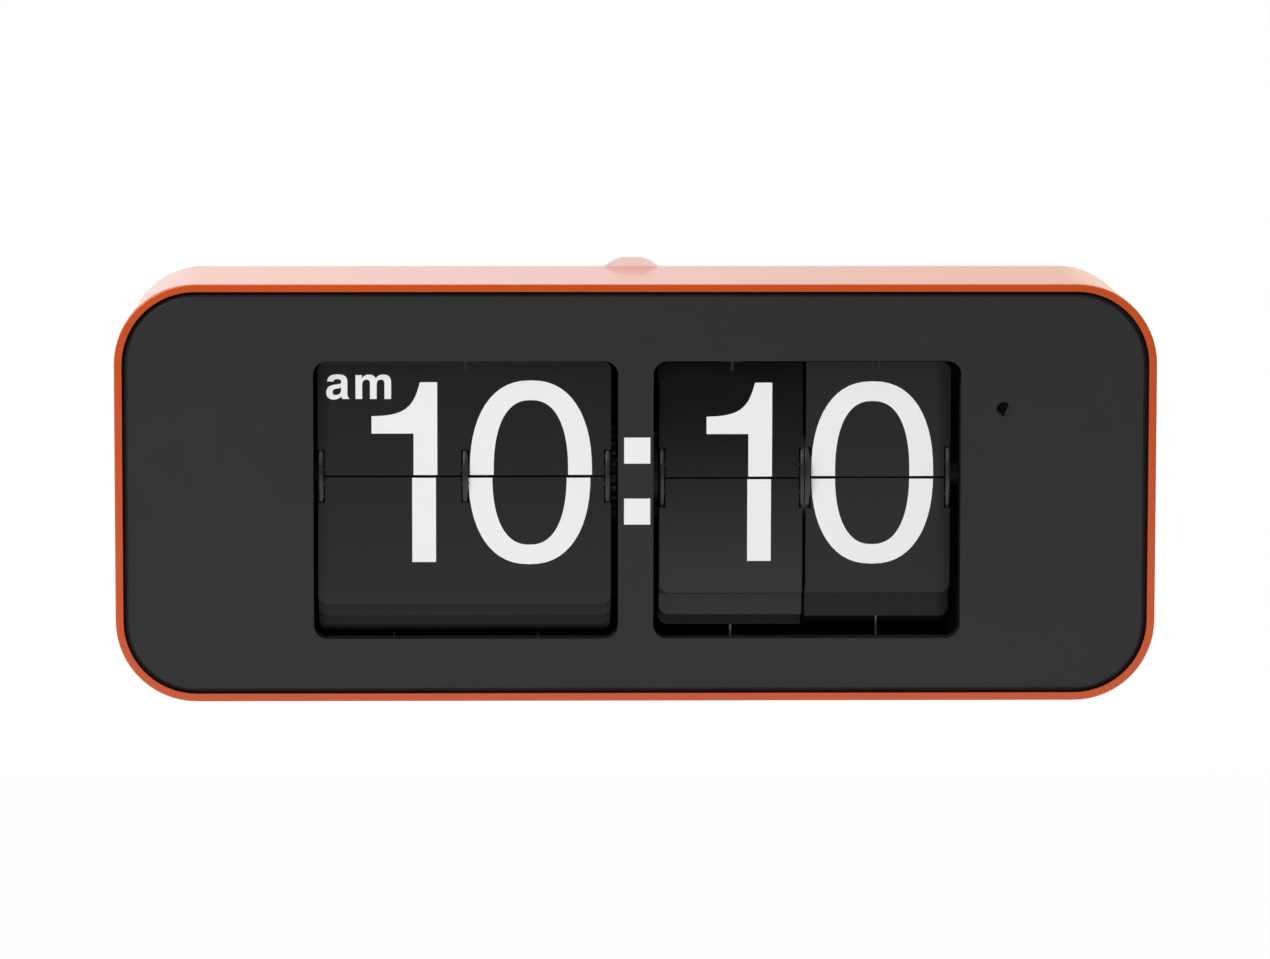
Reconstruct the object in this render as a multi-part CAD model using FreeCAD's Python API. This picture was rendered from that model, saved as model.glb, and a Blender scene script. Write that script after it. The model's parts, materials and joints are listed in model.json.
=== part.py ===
import FreeCAD
import Part
import math
import os

# Flip wall clock in millimetres. X runs to the right, Y to the back and Z up.
# The origin is under the middle of the case, on the surface that it can stand on.
# The works stand as they do at ten past ten in the morning.

# Case
WIDTH, HEIGHT, DEPTH = 360.0, 145.0, 80.0
CORNER_R = 28.0
WALL = 2.7
RIM_FILLET = 0.7
FRONT_Y, BACK_Y = -DEPTH / 2, DEPTH / 2
COVER_T = 2.5
COVER_Y = BACK_Y - COVER_T
LEDGE_WIDTH, LEDGE_T = 2.2, 1.5

# Front panel, with its two windows, the dots between them and the seconds hole
PANEL_T = 2.0
PANEL_Y = FRONT_Y + 1.0
PANEL_BACK_Y = PANEL_Y + PANEL_T
PANEL_GAP = 0.25
BEVEL_WIDTH, BEVEL_DEPTH = 1.7, 1.0
WINDOWS = ((-111.5, -6.15), (6.0, 112.4))
WINDOW_BOTTOM, WINDOW_TOP, WINDOW_R = 21.7, 118.2, 4.8
SILL_T, SILL_Y, CHEEK_Y = 1.2, -30.0, -33.0
DOT_SIZE, DOT_X, DOT_ZS = 9.06, 0.4, (87.2, 66.0)
DOT_SUNK, DOT_PROUD = 0.5, 0.05
PEEP_X, PEEP_Z, PEEP_R = 127.1, 101.5, 2.5
POST_R, POST_XS, POST_TOP_Z, POST_BOTTOM_Z = 3.5, (-90.0, -20.0, 90.0), 133.5, 14.0

# Drums: every leaf hangs on two stub pins in the rim of the discs beside it
AXLE_Y, AXLE_Z, AXLE_R = -16.0, 77.6, 2.0
HINGE_R, DISC_R = 18.4, 20.0
RIM_ACROSS, RIM_DOWN = 0.7, 0.9
LEAF_REACH, LINE_GAP, LEAF_T, LEAF_CORNER = 40.2, 0.3, 0.5, 3.4
PIN_R, PIN_HOLE_R, PIN_ROOT = 0.5, 0.57, 1.2
NOTCH_SIDE, NOTCH_END = 0.35, 0.2
HUB_R, BORE_R, SPACER_R = 5.0, 2.06, 3.6
CUP_R, CUP_WALL, CUP_DEPTH = 11.2, 1.0, 8.0

# Frame that carries the drums
LEFT_X, RIGHT_X, OUTER_X = -113.5, 113.0, 142.0
SHEET_T = 1.5
FRAME_FRONT, FRAME_BACK, FRAME_DEEP_BACK = -31.0, 9.0, 26.0
BRACKET_FRONT = FRAME_FRONT + SHEET_T
TOP_BAR_Z, BOTTOM_BAR_Z = 126.5, 9.5
FLANGE_HEIGHT = 10.5
TAB_LENGTH, TAB_Y = 12.0, -21.5
SCREW_R, SCREW_HEAD_R, SCREW_HEAD_T = 1.2, 2.6, 1.6

# Gear train at the right of the drums
MODULE = 0.5
DRIVE_TEETH, SECONDS_PINION_TEETH, SECONDS_TEETH = 80, 8, 50
ROTOR_TEETH, SETTING_TEETH = 10, 60
CARRY_MODULE, CARRY_TEETH, CARRY_PINION_TEETH = 1.25, 24, 8
TRAIN_X, TRAIN_T = 115.6, 2.0
SECONDS_DY, SECONDS_RIM_R, SECONDS_RIM_X = -3.6, 16.6, 124.0
SECONDS_GEAR_X, SECONDS_GEAR_T = 131.0, 1.6
THUMB_X, THUMB_T = 118.0, 5.5
THUMB_SLOT = (116.4, 129.0, AXLE_Z - 12.0, AXLE_Z + 12.0)

# Battery bay at the left, closed by a door that is hinged along its lower edge
CELL_R, CELL_LENGTH, NUB_R, NUB_HEIGHT = 17.1, 61.5, 4.6, 1.5
BAY = (-164.0, -128.0, 39.0, 106.0)
BAY_FRONT, BAY_WALL = 0.0, 1.6
DOOR_GAP, DOOR_STUB_R, DOOR_STUB_HOLE_R, DOOR_STUB = 0.3, 0.7, 0.77, 1.6

# Hanging ear and its keyhole
EAR_R, EAR_Z, EAR_TOP = 14.6, 134.0, 148.2
KEYHOLE_R, KEYHOLE_Z, KEYHOLE_SLOT_R, KEYHOLE_RISE = 4.5, 128.5, 2.2, 9.0

X_AXIS = FreeCAD.Vector(1, 0, 0)
Y_AXIS = FreeCAD.Vector(0, 1, 0)
Z_AXIS = FreeCAD.Vector(0, 0, 1)
AXLE = FreeCAD.Vector(0, AXLE_Y, AXLE_Z)

# Depth of a wheel's and a pinion's tooth in modules, with half its width there as a share of the pitch
WHEEL_TOOTH = ((-1.25, 0.24), (0.0, 0.205), (0.5, 0.15), (0.85, 0.07))
PINION_TOOTH = ((-1.25, 0.13), (0.0, 0.19), (0.45, 0.14), (0.8, 0.06))


# Plain shapes

def block(x0, x1, y0, y1, z0, z1):
    return Part.makeBox(x1 - x0, y1 - y0, z1 - z0, FreeCAD.Vector(x0, y0, z0))


def rod_x(x0, x1, y, z, radius):
    return Part.makeCylinder(radius, x1 - x0, FreeCAD.Vector(x0, y, z), X_AXIS)


def rod_y(x, z, y0, y1, radius):
    return Part.makeCylinder(radius, y1 - y0, FreeCAD.Vector(x, y0, z), Y_AXIS)


def rod_z(x, y, z0, z1, radius):
    return Part.makeCylinder(radius, z1 - z0, FreeCAD.Vector(x, y, z0), Z_AXIS)


def joined(shapes):
    """One solid from touching or overlapping ones."""
    shapes = list(shapes)
    return shapes[0].fuse(shapes[1:]).removeSplitter() if len(shapes) > 1 else shapes[0]


def rounded_plate(x0, x1, z0, z1, radius, y0, y1):
    """A plate in the XZ plane with four round corners, from y0 to y1."""
    plate = block(x0, x1, y0, y1, z0, z1)
    upright = [e for e in plate.Edges if abs(e.Length - (y1 - y0)) < 1e-6 and along(e, Y_AXIS)]
    return plate.makeFillet(radius, upright)


def along(edge, axis):
    """Whether a straight edge runs along an axis."""
    if not isinstance(edge.Curve, (Part.Line, Part.LineSegment)):
        return False
    return edge.tangentAt(edge.FirstParameter).cross(axis).Length < 1e-6


def tapered_plate(outline, inset, y0, y1):
    """A round-cornered plate from y0 to y1 that grows by inset all round on its way."""
    x0, x1, z0, z1, radius = outline
    small = rounded_outline(x0 + inset, x1 - inset, z0 + inset, z1 - inset, radius - inset, y0)
    large = rounded_outline(x0, x1, z0, z1, radius, y1)
    return Part.makeLoft([small, large], True, True)


def rounded_outline(x0, x1, z0, z1, radius, y):
    """A closed wire with round corners in the XZ plane at y."""
    corners = ((x1 - radius, z0 + radius, 315), (x1 - radius, z1 - radius, 45),
               (x0 + radius, z1 - radius, 135), (x0 + radius, z0 + radius, 225))
    arcs = []
    for x, z, middle in corners:
        ends = [point_on(x, y, z, radius, middle + turn) for turn in (-45, 0, 45)]
        arcs.append(Part.Arc(*ends).toShape())
    edges = []
    for arc, following in zip(arcs, arcs[1:] + arcs[:1]):
        edges.append(arc)
        edges.append(Part.makeLine(arc.Vertexes[-1].Point, following.Vertexes[0].Point))
    return Part.Wire(edges)


def point_on(x, y, z, radius, degrees):
    """A point on a circle in the XZ plane, counted from +X towards +Z."""
    angle = math.radians(degrees)
    return FreeCAD.Vector(x + radius * math.cos(angle), y, z + radius * math.sin(angle))


def turned(profile, centre_y=AXLE_Y, centre_z=AXLE_Z):
    """A closed outline of x and radius pairs, turned about a line along X."""
    points = [FreeCAD.Vector(x, centre_y, centre_z + radius) for x, radius in profile]
    face = Part.Face(Part.makePolygon(points + points[:1]))
    return face.revolve(FreeCAD.Vector(0, centre_y, centre_z), X_AXIS, 360)


def tube(points, radius, bend):
    """A round rod along straight runs that are joined by tangent arcs."""
    points = [FreeCAD.Vector(*p) for p in points]
    edges, start = [], points[0]
    for before, corner, after in zip(points, points[1:], points[2:]):
        towards = (before - corner).normalize()
        onwards = (after - corner).normalize()
        turn = math.pi - towards.getAngle(onwards)
        cut = bend * math.tan(turn / 2)
        entry, leave = corner + towards * cut, corner + onwards * cut
        inward = (towards + onwards).normalize()
        middle = corner + inward * (bend / math.cos(turn / 2) - bend)
        edges += [Part.makeLine(start, entry), Part.Arc(entry, middle, leave).toShape()]
        start = leave
    edges.append(Part.makeLine(start, points[-1]))
    path = Part.Wire(edges)
    section = Part.Wire(Part.makeCircle(radius, points[0], points[1] - points[0]))
    return path.makePipeShell([section], True, True)


# Gears, whose teeth are counted from an angle about +X, from +Y towards +Z

def gear(teeth, module, tooth, x0, x1, y, z, phase):
    """A toothed wheel or pinion, one tooth pointing at the angle phase."""
    pitch = 360.0 / teeth
    radius = teeth * module / 2
    flank = [(radius + depth * module, share * pitch) for depth, share in tooth]
    corners = []
    for number in range(teeth):
        middle = phase + number * pitch
        corners += [(r, middle - half) for r, half in flank]
        corners += [(r, middle + half) for r, half in reversed(flank)]
    points = [gear_point(x0, y, z, r, angle) for r, angle in corners]
    face = Part.Face(Part.makePolygon(points + points[:1]))
    return face.extrude(FreeCAD.Vector(x1 - x0, 0, 0))


def gear_point(x, y, z, radius, degrees):
    angle = math.radians(degrees)
    return FreeCAD.Vector(x, y + radius * math.cos(angle), z + radius * math.sin(angle))


def mesh_phase(phase, teeth, other_teeth, direction):
    """The phase of a gear whose gap meets the tooth of a first gear that stands at phase."""
    pitch, other_pitch = 360.0 / teeth, 360.0 / other_teeth
    behind = ((direction - phase) / pitch) % 1.0
    return direction + 180.0 + (behind + 0.5) * other_pitch


def one_pair_wheel(x0, x1, rim_r, tip_r, module, teeth, pairs):
    """A smooth carry wheel with a pair of teeth at each angle in pairs."""
    wheel = rod_x(x0, x1, AXLE_Y, AXLE_Z, rim_r)
    pitch = 360.0 / teeth
    pitch_r = teeth * module / 2
    for middle in pairs:
        for offset in (-0.5, 0.5):
            angle = middle + offset * pitch
            corners = [(rim_r - 1.0, angle - 0.2 * pitch), (pitch_r, angle - 0.2 * pitch),
                       (tip_r, angle - 0.08 * pitch), (tip_r, angle + 0.08 * pitch),
                       (pitch_r, angle + 0.2 * pitch), (rim_r - 1.0, angle + 0.2 * pitch)]
            points = [gear_point(x0, AXLE_Y, AXLE_Z, r, a) for r, a in corners]
            face = Part.Face(Part.makePolygon(points + points[:1]))
            wheel = wheel.fuse(face.extrude(FreeCAD.Vector(x1 - x0, 0, 0)))
    return wheel.removeSplitter()


# Drums of leaves

class Drum:
    """One drum: its leaves' number and ends, its discs, and how many hanging leaves are loose bodies.

    lead is the angle in degrees by which it stands before or behind the middle of its step."""

    def __init__(self, name, count, loose, lead, ends, discs, round_left, round_right):
        self.name, self.count, self.loose, self.lead = name, count, loose, lead
        self.ends, self.discs = ends, discs
        self.round_left, self.round_right = round_left, round_right
        self.step = 360.0 / count
        half = math.radians(self.step / 2)
        self.plane = HINGE_R * math.cos(half)
        self.pin_height = HINGE_R * math.sin(half)
        shift = HINGE_R * math.sin(math.radians(abs(lead)))
        self.notch = math.sqrt(DISC_R ** 2 - (self.plane - LEAF_T / 2) ** 2) + NOTCH_END + 1.1 * shift

    def hinge(self, number):
        """Where a leaf's pins stand, from the axle, as y and z."""
        angle = math.radians(self.step * (number + 0.5) - self.lead)
        return -HINGE_R * math.cos(angle), HINGE_R * math.sin(angle)

    def upper_leaf(self):
        """The leaf that shows above the line, standing in front of the axle."""
        x0, x1 = self.ends
        y = AXLE_Y - self.plane
        z0, z1 = AXLE_Z + LINE_GAP, AXLE_Z + LEAF_REACH
        plate = block(x0, x1, y - LEAF_T / 2, y + LEAF_T / 2, z0, z1)
        rounded = [x for x, wanted in ((x0, self.round_left), (x1, self.round_right)) if wanted]
        corners = [e for e in plate.Edges if along(e, Y_AXIS)
                   and e.CenterOfMass.z > z1 - 1e-6
                   and any(abs(e.CenterOfMass.x - x) < 1e-6 for x in rounded)]
        plate = plate.makeFillet(LEAF_CORNER, corners)
        pins = []
        for left, right in self.discs:
            start, end = left - NOTCH_SIDE, right + NOTCH_SIDE
            plate = plate.cut(block(start, end, y - 1, y + 1, z0 - 1, AXLE_Z + self.notch))
            pin_start = start - PIN_ROOT if start > x0 else left + 0.2
            pin_end = end + PIN_ROOT if end < x1 else right - 0.2
            pin = rod_x(pin_start, pin_end, y, AXLE_Z + self.pin_height, PIN_R)
            proud = [block(a, b, c, d, z0, z1)
                     for a, b in ((pin_start - 1, start), (end, pin_end + 1))
                     for c, d in ((y - 1, y - LEAF_T / 2), (y + LEAF_T / 2, y + 1))]
            pins.append(pin.cut(proud))
        return joined([plate] + pins)

    def leaf(self, number):
        """Leaf number 0 stands up in front. The next ones lean back round the axle, and the rest hang."""
        shape = self.upper_leaf()
        pin = FreeCAD.Vector(0, AXLE_Y - self.plane, AXLE_Z + self.pin_height)
        shape.rotate(pin, X_AXIS, -min(number * self.step, 180.0))
        y, z = self.hinge(number)
        shape.translate(AXLE + FreeCAD.Vector(0, y, z) - pin)
        return shape

    def leaf_nodes(self):
        """The leaf that falls, the loose hanging leaves in front, and the rest as one group."""
        hanging = range(self.count - self.loose, self.count)
        nodes = {self.name + "_flip_leaf": self.leaf(0)}
        for place, number in enumerate(reversed(hanging), 1):
            nodes["%s_low_leaf_%d" % (self.name, place)] = self.leaf(number)
        others = [self.leaf(k) for k in range(1, self.count - self.loose)]
        nodes[self.name + "_leaves"] = Part.makeCompound(others)
        return nodes

    def pin_holes(self, x0, x1):
        hinges = [self.hinge(k) for k in range(self.count)]
        return [rod_x(x0, x1, AXLE_Y + y, AXLE_Z + z, PIN_HOLE_R) for y, z in hinges]

    def disc(self, left, right):
        """A flat disc with a boss round the hub and a hole for each leaf's pin."""
        plate = turned([(left, HUB_R)] + rim_corner(left, 1) + rim_corner(right, -1)[::-1] + [(right, HUB_R)])
        return plate.cut(self.pin_holes(left - 1, right + 1))

    def cup_disc(self, left, right, inward):
        """A disc that is dished towards one side, so that the carry pinion fits inside it."""
        rim, web = (left, right) if inward < 0 else (right, left)
        deep = rim + inward * CUP_DEPTH
        outer = CUP_R + CUP_WALL
        back = deep - inward * CUP_WALL
        profile = [(web, CUP_R), (web, DISC_R)] + rim_corner(rim, -inward)[::-1]
        profile += [(rim, outer), (deep, outer), (deep, HUB_R), (back, HUB_R), (back, CUP_R)]
        return turned(profile).cut(self.pin_holes(left - 1, right + 1))


def rim_corner(x, turn, count=5):
    """Points round the soft corner from a disc's side, at x, to its rim."""
    angles = [math.pi / 2 * step / count for step in range(count + 1)]
    return [(x + turn * RIM_ACROSS * (1 - math.cos(a)), DISC_R - RIM_DOWN * (1 - math.sin(a))) for a in angles]


HOUR = Drum("hour", 24, 5, -0.7, (-110.0, -8.6),
            ((-110.0, -107.9), (-60.1, -58.0), (-10.7, -8.6)), True, True)
TENS = Drum("tens", 12, 3, 1.5, (8.2, 57.8), ((8.2, 10.0), (56.9, 58.3)), True, False)
UNITS = Drum("units", 10, 2, 1.1, (59.0, 109.1), ((58.6, 60.4), (107.3, 109.1)), False, True)

CARRY_DISTANCE = (CARRY_TEETH + CARRY_PINION_TEETH) * CARRY_MODULE / 2
CARRY_DIRECTION, CARRY_PHASE = 0.0, 0.0
TRANSFER_DISTANCE = (CARRY_TEETH + CARRY_PINION_TEETH) * MODULE / 2
TRANSFER_DIRECTION, TRANSFER_PHASE = 90.0, 90.0
HOUR_GEAR_X, TENS_WHEEL_X, CARRY_T = -8.4, 6.2, 1.7
TENS_GEAR_X, UNITS_WHEEL_X = 52.6, 62.0
ARM_X, ARM_T = 57.9, 1.1
HUB_GAP = 0.2


def bored(shape, x0, x1):
    """A hub's shape with its running bore on the axle."""
    return shape.cut(rod_x(x0 - 1, x1 + 1, AXLE_Y, AXLE_Z, BORE_R))


def hour_gear():
    """The hour drum's hub, with the toothed wheel that shows at the right of the drum."""
    start, end = LEFT_X + SHEET_T + HUB_GAP, -SHEET_T / 2 - HUB_GAP
    gear_end = HOUR_GEAR_X + CARRY_T
    parts = [rod_x(start, HOUR_GEAR_X, AXLE_Y, AXLE_Z, HUB_R),
             gear(CARRY_TEETH, CARRY_MODULE, WHEEL_TOOTH, HOUR_GEAR_X, gear_end,
                  AXLE_Y, AXLE_Z, CARRY_PHASE),
             rod_x(gear_end, end, AXLE_Y, AXLE_Z, SPACER_R)]
    return bored(joined(parts), start, end)


def tens_hub():
    """The tens drum's hub: a carry wheel towards the hours and a small gear towards the units."""
    start, end = SHEET_T / 2 + HUB_GAP, ARM_X - HUB_GAP
    wheel_end = TENS_WHEEL_X + CARRY_T
    smooth_r = CARRY_DISTANCE - CARRY_MODULE * (CARRY_PINION_TEETH / 2 + 0.8) - 0.3
    tip_r = CARRY_MODULE * (CARRY_TEETH / 2 + 0.85)
    parts = [rod_x(start, TENS_WHEEL_X, AXLE_Y, AXLE_Z, SPACER_R),
             one_pair_wheel(TENS_WHEEL_X, wheel_end, smooth_r, tip_r,
                            CARRY_MODULE, CARRY_TEETH, (60.0, 240.0)),
             rod_x(wheel_end, end, AXLE_Y, AXLE_Z, HUB_R),
             gear(CARRY_TEETH, MODULE, WHEEL_TOOTH, TENS_GEAR_X, TENS_GEAR_X + TRAIN_T,
                  AXLE_Y, AXLE_Z, TRANSFER_PHASE)]
    return bored(joined(parts), start, end)


def units_hub():
    """The units drum's hub, with the carry wheel towards the tens."""
    start, end = ARM_X + ARM_T + HUB_GAP, TRAIN_X + TRAIN_T
    smooth_r = TRANSFER_DISTANCE - MODULE * (CARRY_PINION_TEETH / 2 + 0.8) - 0.15
    tip_r = MODULE * (CARRY_TEETH / 2 + 0.85)
    parts = [rod_x(start, end, AXLE_Y, AXLE_Z, HUB_R),
             one_pair_wheel(UNITS_WHEEL_X, UNITS_WHEEL_X + TRAIN_T, smooth_r, tip_r,
                            MODULE, CARRY_TEETH, (150.0,))]
    return bored(joined(parts), start, end)


def carry_pinion():
    """The long pinion between the hour gear and the tens drum's carry wheel."""
    y, z = AXLE_Y + CARRY_DISTANCE, AXLE_Z
    phase = mesh_phase(CARRY_PHASE, CARRY_TEETH, CARRY_PINION_TEETH, CARRY_DIRECTION)
    left_end, right_end = HOUR_GEAR_X + CARRY_T, TENS_WHEEL_X + CARRY_T
    teeth = [gear(CARRY_PINION_TEETH, CARRY_MODULE, PINION_TOOTH, a, b, y, z, phase)
             for a, b in ((HOUR_GEAR_X, left_end), (TENS_WHEEL_X, right_end))]
    return joined(teeth + [rod_x(left_end, TENS_WHEEL_X, y, z, 2.5)])


def transfer_pinion():
    """The small pinion inside the dished discs, between the units and the tens drums."""
    y, z = AXLE_Y, AXLE_Z + TRANSFER_DISTANCE
    phase = mesh_phase(TRANSFER_PHASE, CARRY_TEETH, CARRY_PINION_TEETH, TRANSFER_DIRECTION)
    left_end, right_start = ARM_X - 1.4, ARM_X + ARM_T + 1.4
    teeth = [gear(CARRY_PINION_TEETH, MODULE, PINION_TOOTH, a, b, y, z, phase)
             for a, b in ((TENS_GEAR_X, left_end), (right_start, UNITS_WHEEL_X + TRAIN_T))]
    return joined(teeth + [rod_x(left_end, right_start, y, z, 0.9)])


def transfer_arm():
    """The arm on the fixed axle that carries the transfer pinion."""
    end = ARM_X + ARM_T
    z = AXLE_Z + TRANSFER_DISTANCE
    plate = joined([rod_x(ARM_X, end, AXLE_Y, AXLE_Z, 4.4), rod_x(ARM_X, end, AXLE_Y, z, 2.4),
                    block(ARM_X, end, AXLE_Y - 2.4, AXLE_Y + 2.4, AXLE_Z, z)])
    holes = [rod_x(ARM_X - 1, end + 1, AXLE_Y, AXLE_Z, AXLE_R),
             rod_x(ARM_X - 1, end + 1, AXLE_Y, z, 0.96)]
    return plate.cut(holes)


def catch_spring(x):
    """The bent strip under the top bar whose tip holds the standing leaf by its upper edge."""
    half, front, back = 0.5, AXLE_Y - 19.3, -22.0
    top = block(x - half, x + half, front, back, TOP_BAR_Z - 0.5, TOP_BAR_Z)
    finger = block(x - half, x + half, front, front + 0.5, WINDOW_TOP - 3.6, TOP_BAR_Z)
    rivet = rod_z(x, back - 4.0, TOP_BAR_Z - 1.1, TOP_BAR_Z - 0.4, 0.6)
    return joined([top, finger, rivet])


def stay_wire(x):
    """The upright wire on the bottom bar that steadies the hanging leaves."""
    return tube([(x, AXLE_Y - 6.5, BOTTOM_BAR_Z + 0.4), (x, AXLE_Y - 1.5, BOTTOM_BAR_Z + 0.4),
                 (x, AXLE_Y - 1.5, 33.0)], 0.4, 1.5)


def drum_nodes():
    nodes = {}
    for drum in (HOUR, TENS, UNITS):
        nodes.update(drum.leaf_nodes())
    nodes["hour_discs"] = Part.makeCompound([HOUR.disc(*d) for d in HOUR.discs])
    nodes["tens_discs"] = Part.makeCompound([TENS.disc(*TENS.discs[0]),
                                             TENS.cup_disc(*TENS.discs[1], -1)])
    nodes["units_discs"] = Part.makeCompound([UNITS.cup_disc(*UNITS.discs[0], 1),
                                              UNITS.disc(*UNITS.discs[1])])
    nodes["hour_gear"] = hour_gear()
    nodes["tens_hub"] = tens_hub()
    nodes["units_hub"] = units_hub()
    nodes["carry_pinion"] = carry_pinion()
    nodes["transfer_pinion"] = transfer_pinion()
    nodes["transfer_arm"] = transfer_arm()
    nodes["hour_catch_spring"] = catch_spring(-58.9)
    nodes["tens_catch_spring"] = catch_spring(33.3)
    nodes["units_catch_spring"] = catch_spring(84.0)
    nodes["hour_stay_wires"] = Part.makeCompound([stay_wire(-84.1), stay_wire(-33.9)])
    nodes["tens_stay_wire"] = stay_wire(33.5)
    nodes["units_stay_wire"] = stay_wire(84.5)
    return nodes


# Gear train and motor

TRAIN_END = TRAIN_X + TRAIN_T
SECONDS_DISTANCE = (DRIVE_TEETH + SECONDS_PINION_TEETH) * MODULE / 2
SECONDS_Y = AXLE_Y + SECONDS_DY
SECONDS_Z = AXLE_Z + math.sqrt(SECONDS_DISTANCE ** 2 - SECONDS_DY ** 2)
SECONDS_DIRECTION = math.degrees(math.atan2(SECONDS_Z - AXLE_Z, SECONDS_DY))
ROTOR_DISTANCE = (SECONDS_TEETH + ROTOR_TEETH) * MODULE / 2
ROTOR_DIRECTION = 45.0
ROTOR_Y = SECONDS_Y + ROTOR_DISTANCE * math.cos(math.radians(ROTOR_DIRECTION))
ROTOR_Z = SECONDS_Z + ROTOR_DISTANCE * math.sin(math.radians(ROTOR_DIRECTION))
SETTING_DISTANCE = (DRIVE_TEETH + SETTING_TEETH) * MODULE / 2
SETTING_Y, SETTING_DIRECTION = AXLE_Y + SETTING_DISTANCE, 0.0
THUMB_R = BACK_Y - 0.7 - SETTING_Y
DRIVE_PHASE = 0.0
SECONDS_GEAR_END = SECONDS_GEAR_X + SECONDS_GEAR_T
MOTOR_PLATE_X, MOTOR_PLATE_T = 133.6, 1.2
STATOR_X, STATOR_T = 136.2, 1.5
COIL_Y, COIL_R = 10.0, 4.7
PLATE_END = OUTER_X + SHEET_T
BOARD_X, BOARD_T = 147.0, 1.6


def units_drive_gear():
    blank = gear(DRIVE_TEETH, MODULE, WHEEL_TOOTH, TRAIN_X, TRAIN_END, AXLE_Y, AXLE_Z, DRIVE_PHASE)
    openings = []
    for number in range(5):
        centre = gear_point(TRAIN_X, AXLE_Y, AXLE_Z, 12.5, 36.0 + 72.0 * number)
        openings.append(rod_x(TRAIN_X - 1, TRAIN_END + 1, centre.y, centre.z, 4.6))
    return blank.cut(openings + [rod_x(TRAIN_X - 1, TRAIN_END + 1, AXLE_Y, AXLE_Z, HUB_R)])


def seconds_wheel():
    """The wheel that turns once a minute. Its rim passes behind the small hole in the panel."""
    phase = mesh_phase(DRIVE_PHASE, DRIVE_TEETH, SECONDS_PINION_TEETH, SECONDS_DIRECTION)
    rim_x, rim_end = SECONDS_RIM_X, SECONDS_RIM_X + 6.0
    rim = turned([(rim_x, SECONDS_RIM_R - 1.2), (rim_x, SECONDS_RIM_R), (rim_end, SECONDS_RIM_R),
                  (rim_end, SECONDS_RIM_R - 1.2), (rim_x + 3.6, SECONDS_RIM_R - 1.2),
                  (rim_x + 3.6, 2.5), (rim_x + 2.4, 2.5), (rim_x + 2.4, SECONDS_RIM_R - 1.2)],
                 SECONDS_Y, SECONDS_Z)
    parts = [rim,
             gear(SECONDS_PINION_TEETH, MODULE, PINION_TOOTH, TRAIN_X, TRAIN_END,
                  SECONDS_Y, SECONDS_Z, phase),
             rod_x(TRAIN_END, SECONDS_GEAR_X, SECONDS_Y, SECONDS_Z, 2.5),
             gear(SECONDS_TEETH, MODULE, WHEEL_TOOTH, SECONDS_GEAR_X, SECONDS_GEAR_END,
                  SECONDS_Y, SECONDS_Z, ROTOR_DIRECTION),
             rod_x(RIGHT_X + 0.2, PLATE_END, SECONDS_Y, SECONDS_Z, 0.9)]
    return joined(parts)


def motor_rotor():
    """The motor's magnet on its arbor, with the pinion that drives the seconds wheel."""
    phase = mesh_phase(ROTOR_DIRECTION, SECONDS_TEETH, ROTOR_TEETH, ROTOR_DIRECTION)
    parts = [gear(ROTOR_TEETH, MODULE, PINION_TOOTH, SECONDS_GEAR_X, SECONDS_GEAR_END,
                  ROTOR_Y, ROTOR_Z, phase),
             rod_x(SECONDS_GEAR_X - 0.8, PLATE_END, ROTOR_Y, ROTOR_Z, 0.6),
             rod_x(STATOR_X - 0.7, STATOR_X + STATOR_T + 0.7, ROTOR_Y, ROTOR_Z, 3.0)]
    return joined(parts)


def setting_wheel():
    """The ribbed wheel in the back cover's slot that sets the time by hand."""
    phase = mesh_phase(DRIVE_PHASE, DRIVE_TEETH, SETTING_TEETH, SETTING_DIRECTION)
    thumb_end = THUMB_X + THUMB_T
    thumb = turned([(THUMB_X, 2.0), (THUMB_X, THUMB_R - 0.6), (THUMB_X + 0.6, THUMB_R),
                    (thumb_end - 0.6, THUMB_R), (thumb_end, THUMB_R - 0.6),
                    (thumb_end, THUMB_R - 3.0), (thumb_end - 2.5, THUMB_R - 3.0),
                    (thumb_end - 2.5, 4.5), (thumb_end, 4.5), (thumb_end, 2.0)],
                   SETTING_Y, AXLE_Z)
    ribs = 48
    grooves = []
    for number in range(ribs):
        spot = gear_point(THUMB_X, SETTING_Y, AXLE_Z, THUMB_R + 0.25, 360.0 * number / ribs)
        grooves.append(rod_x(THUMB_X - 1, thumb_end + 1, spot.y, spot.z, 0.6))
    thumb = thumb.cut(grooves)
    parts = [thumb,
             gear(SETTING_TEETH, MODULE, WHEEL_TOOTH, TRAIN_X, TRAIN_END, SETTING_Y, AXLE_Z, phase),
             rod_x(TRAIN_END, thumb_end, SETTING_Y, AXLE_Z, 4.5),
             rod_x(RIGHT_X + 0.2, PLATE_END, SETTING_Y, AXLE_Z, 1.5)]
    return joined(parts)


def motor_stator():
    """The flat iron plate round the rotor, with the limb that the coil sits on."""
    plate = block(STATOR_X, STATOR_X + STATOR_T, ROTOR_Y - 6.5, COIL_Y + 1.5, ROTOR_Z - 8, ROTOR_Z + 8)
    window = block(STATOR_X - 1, STATOR_X + 3, ROTOR_Y + 6.5, COIL_Y - 1.5, ROTOR_Z - 4, ROTOR_Z + 4)
    slits = block(STATOR_X - 1, STATOR_X + 3, ROTOR_Y - 0.2, ROTOR_Y + 0.2, ROTOR_Z - 7, ROTOR_Z + 7)
    return plate.cut([window, slits, rod_x(STATOR_X - 1, STATOR_X + 3, ROTOR_Y, ROTOR_Z, 3.5)])


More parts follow.
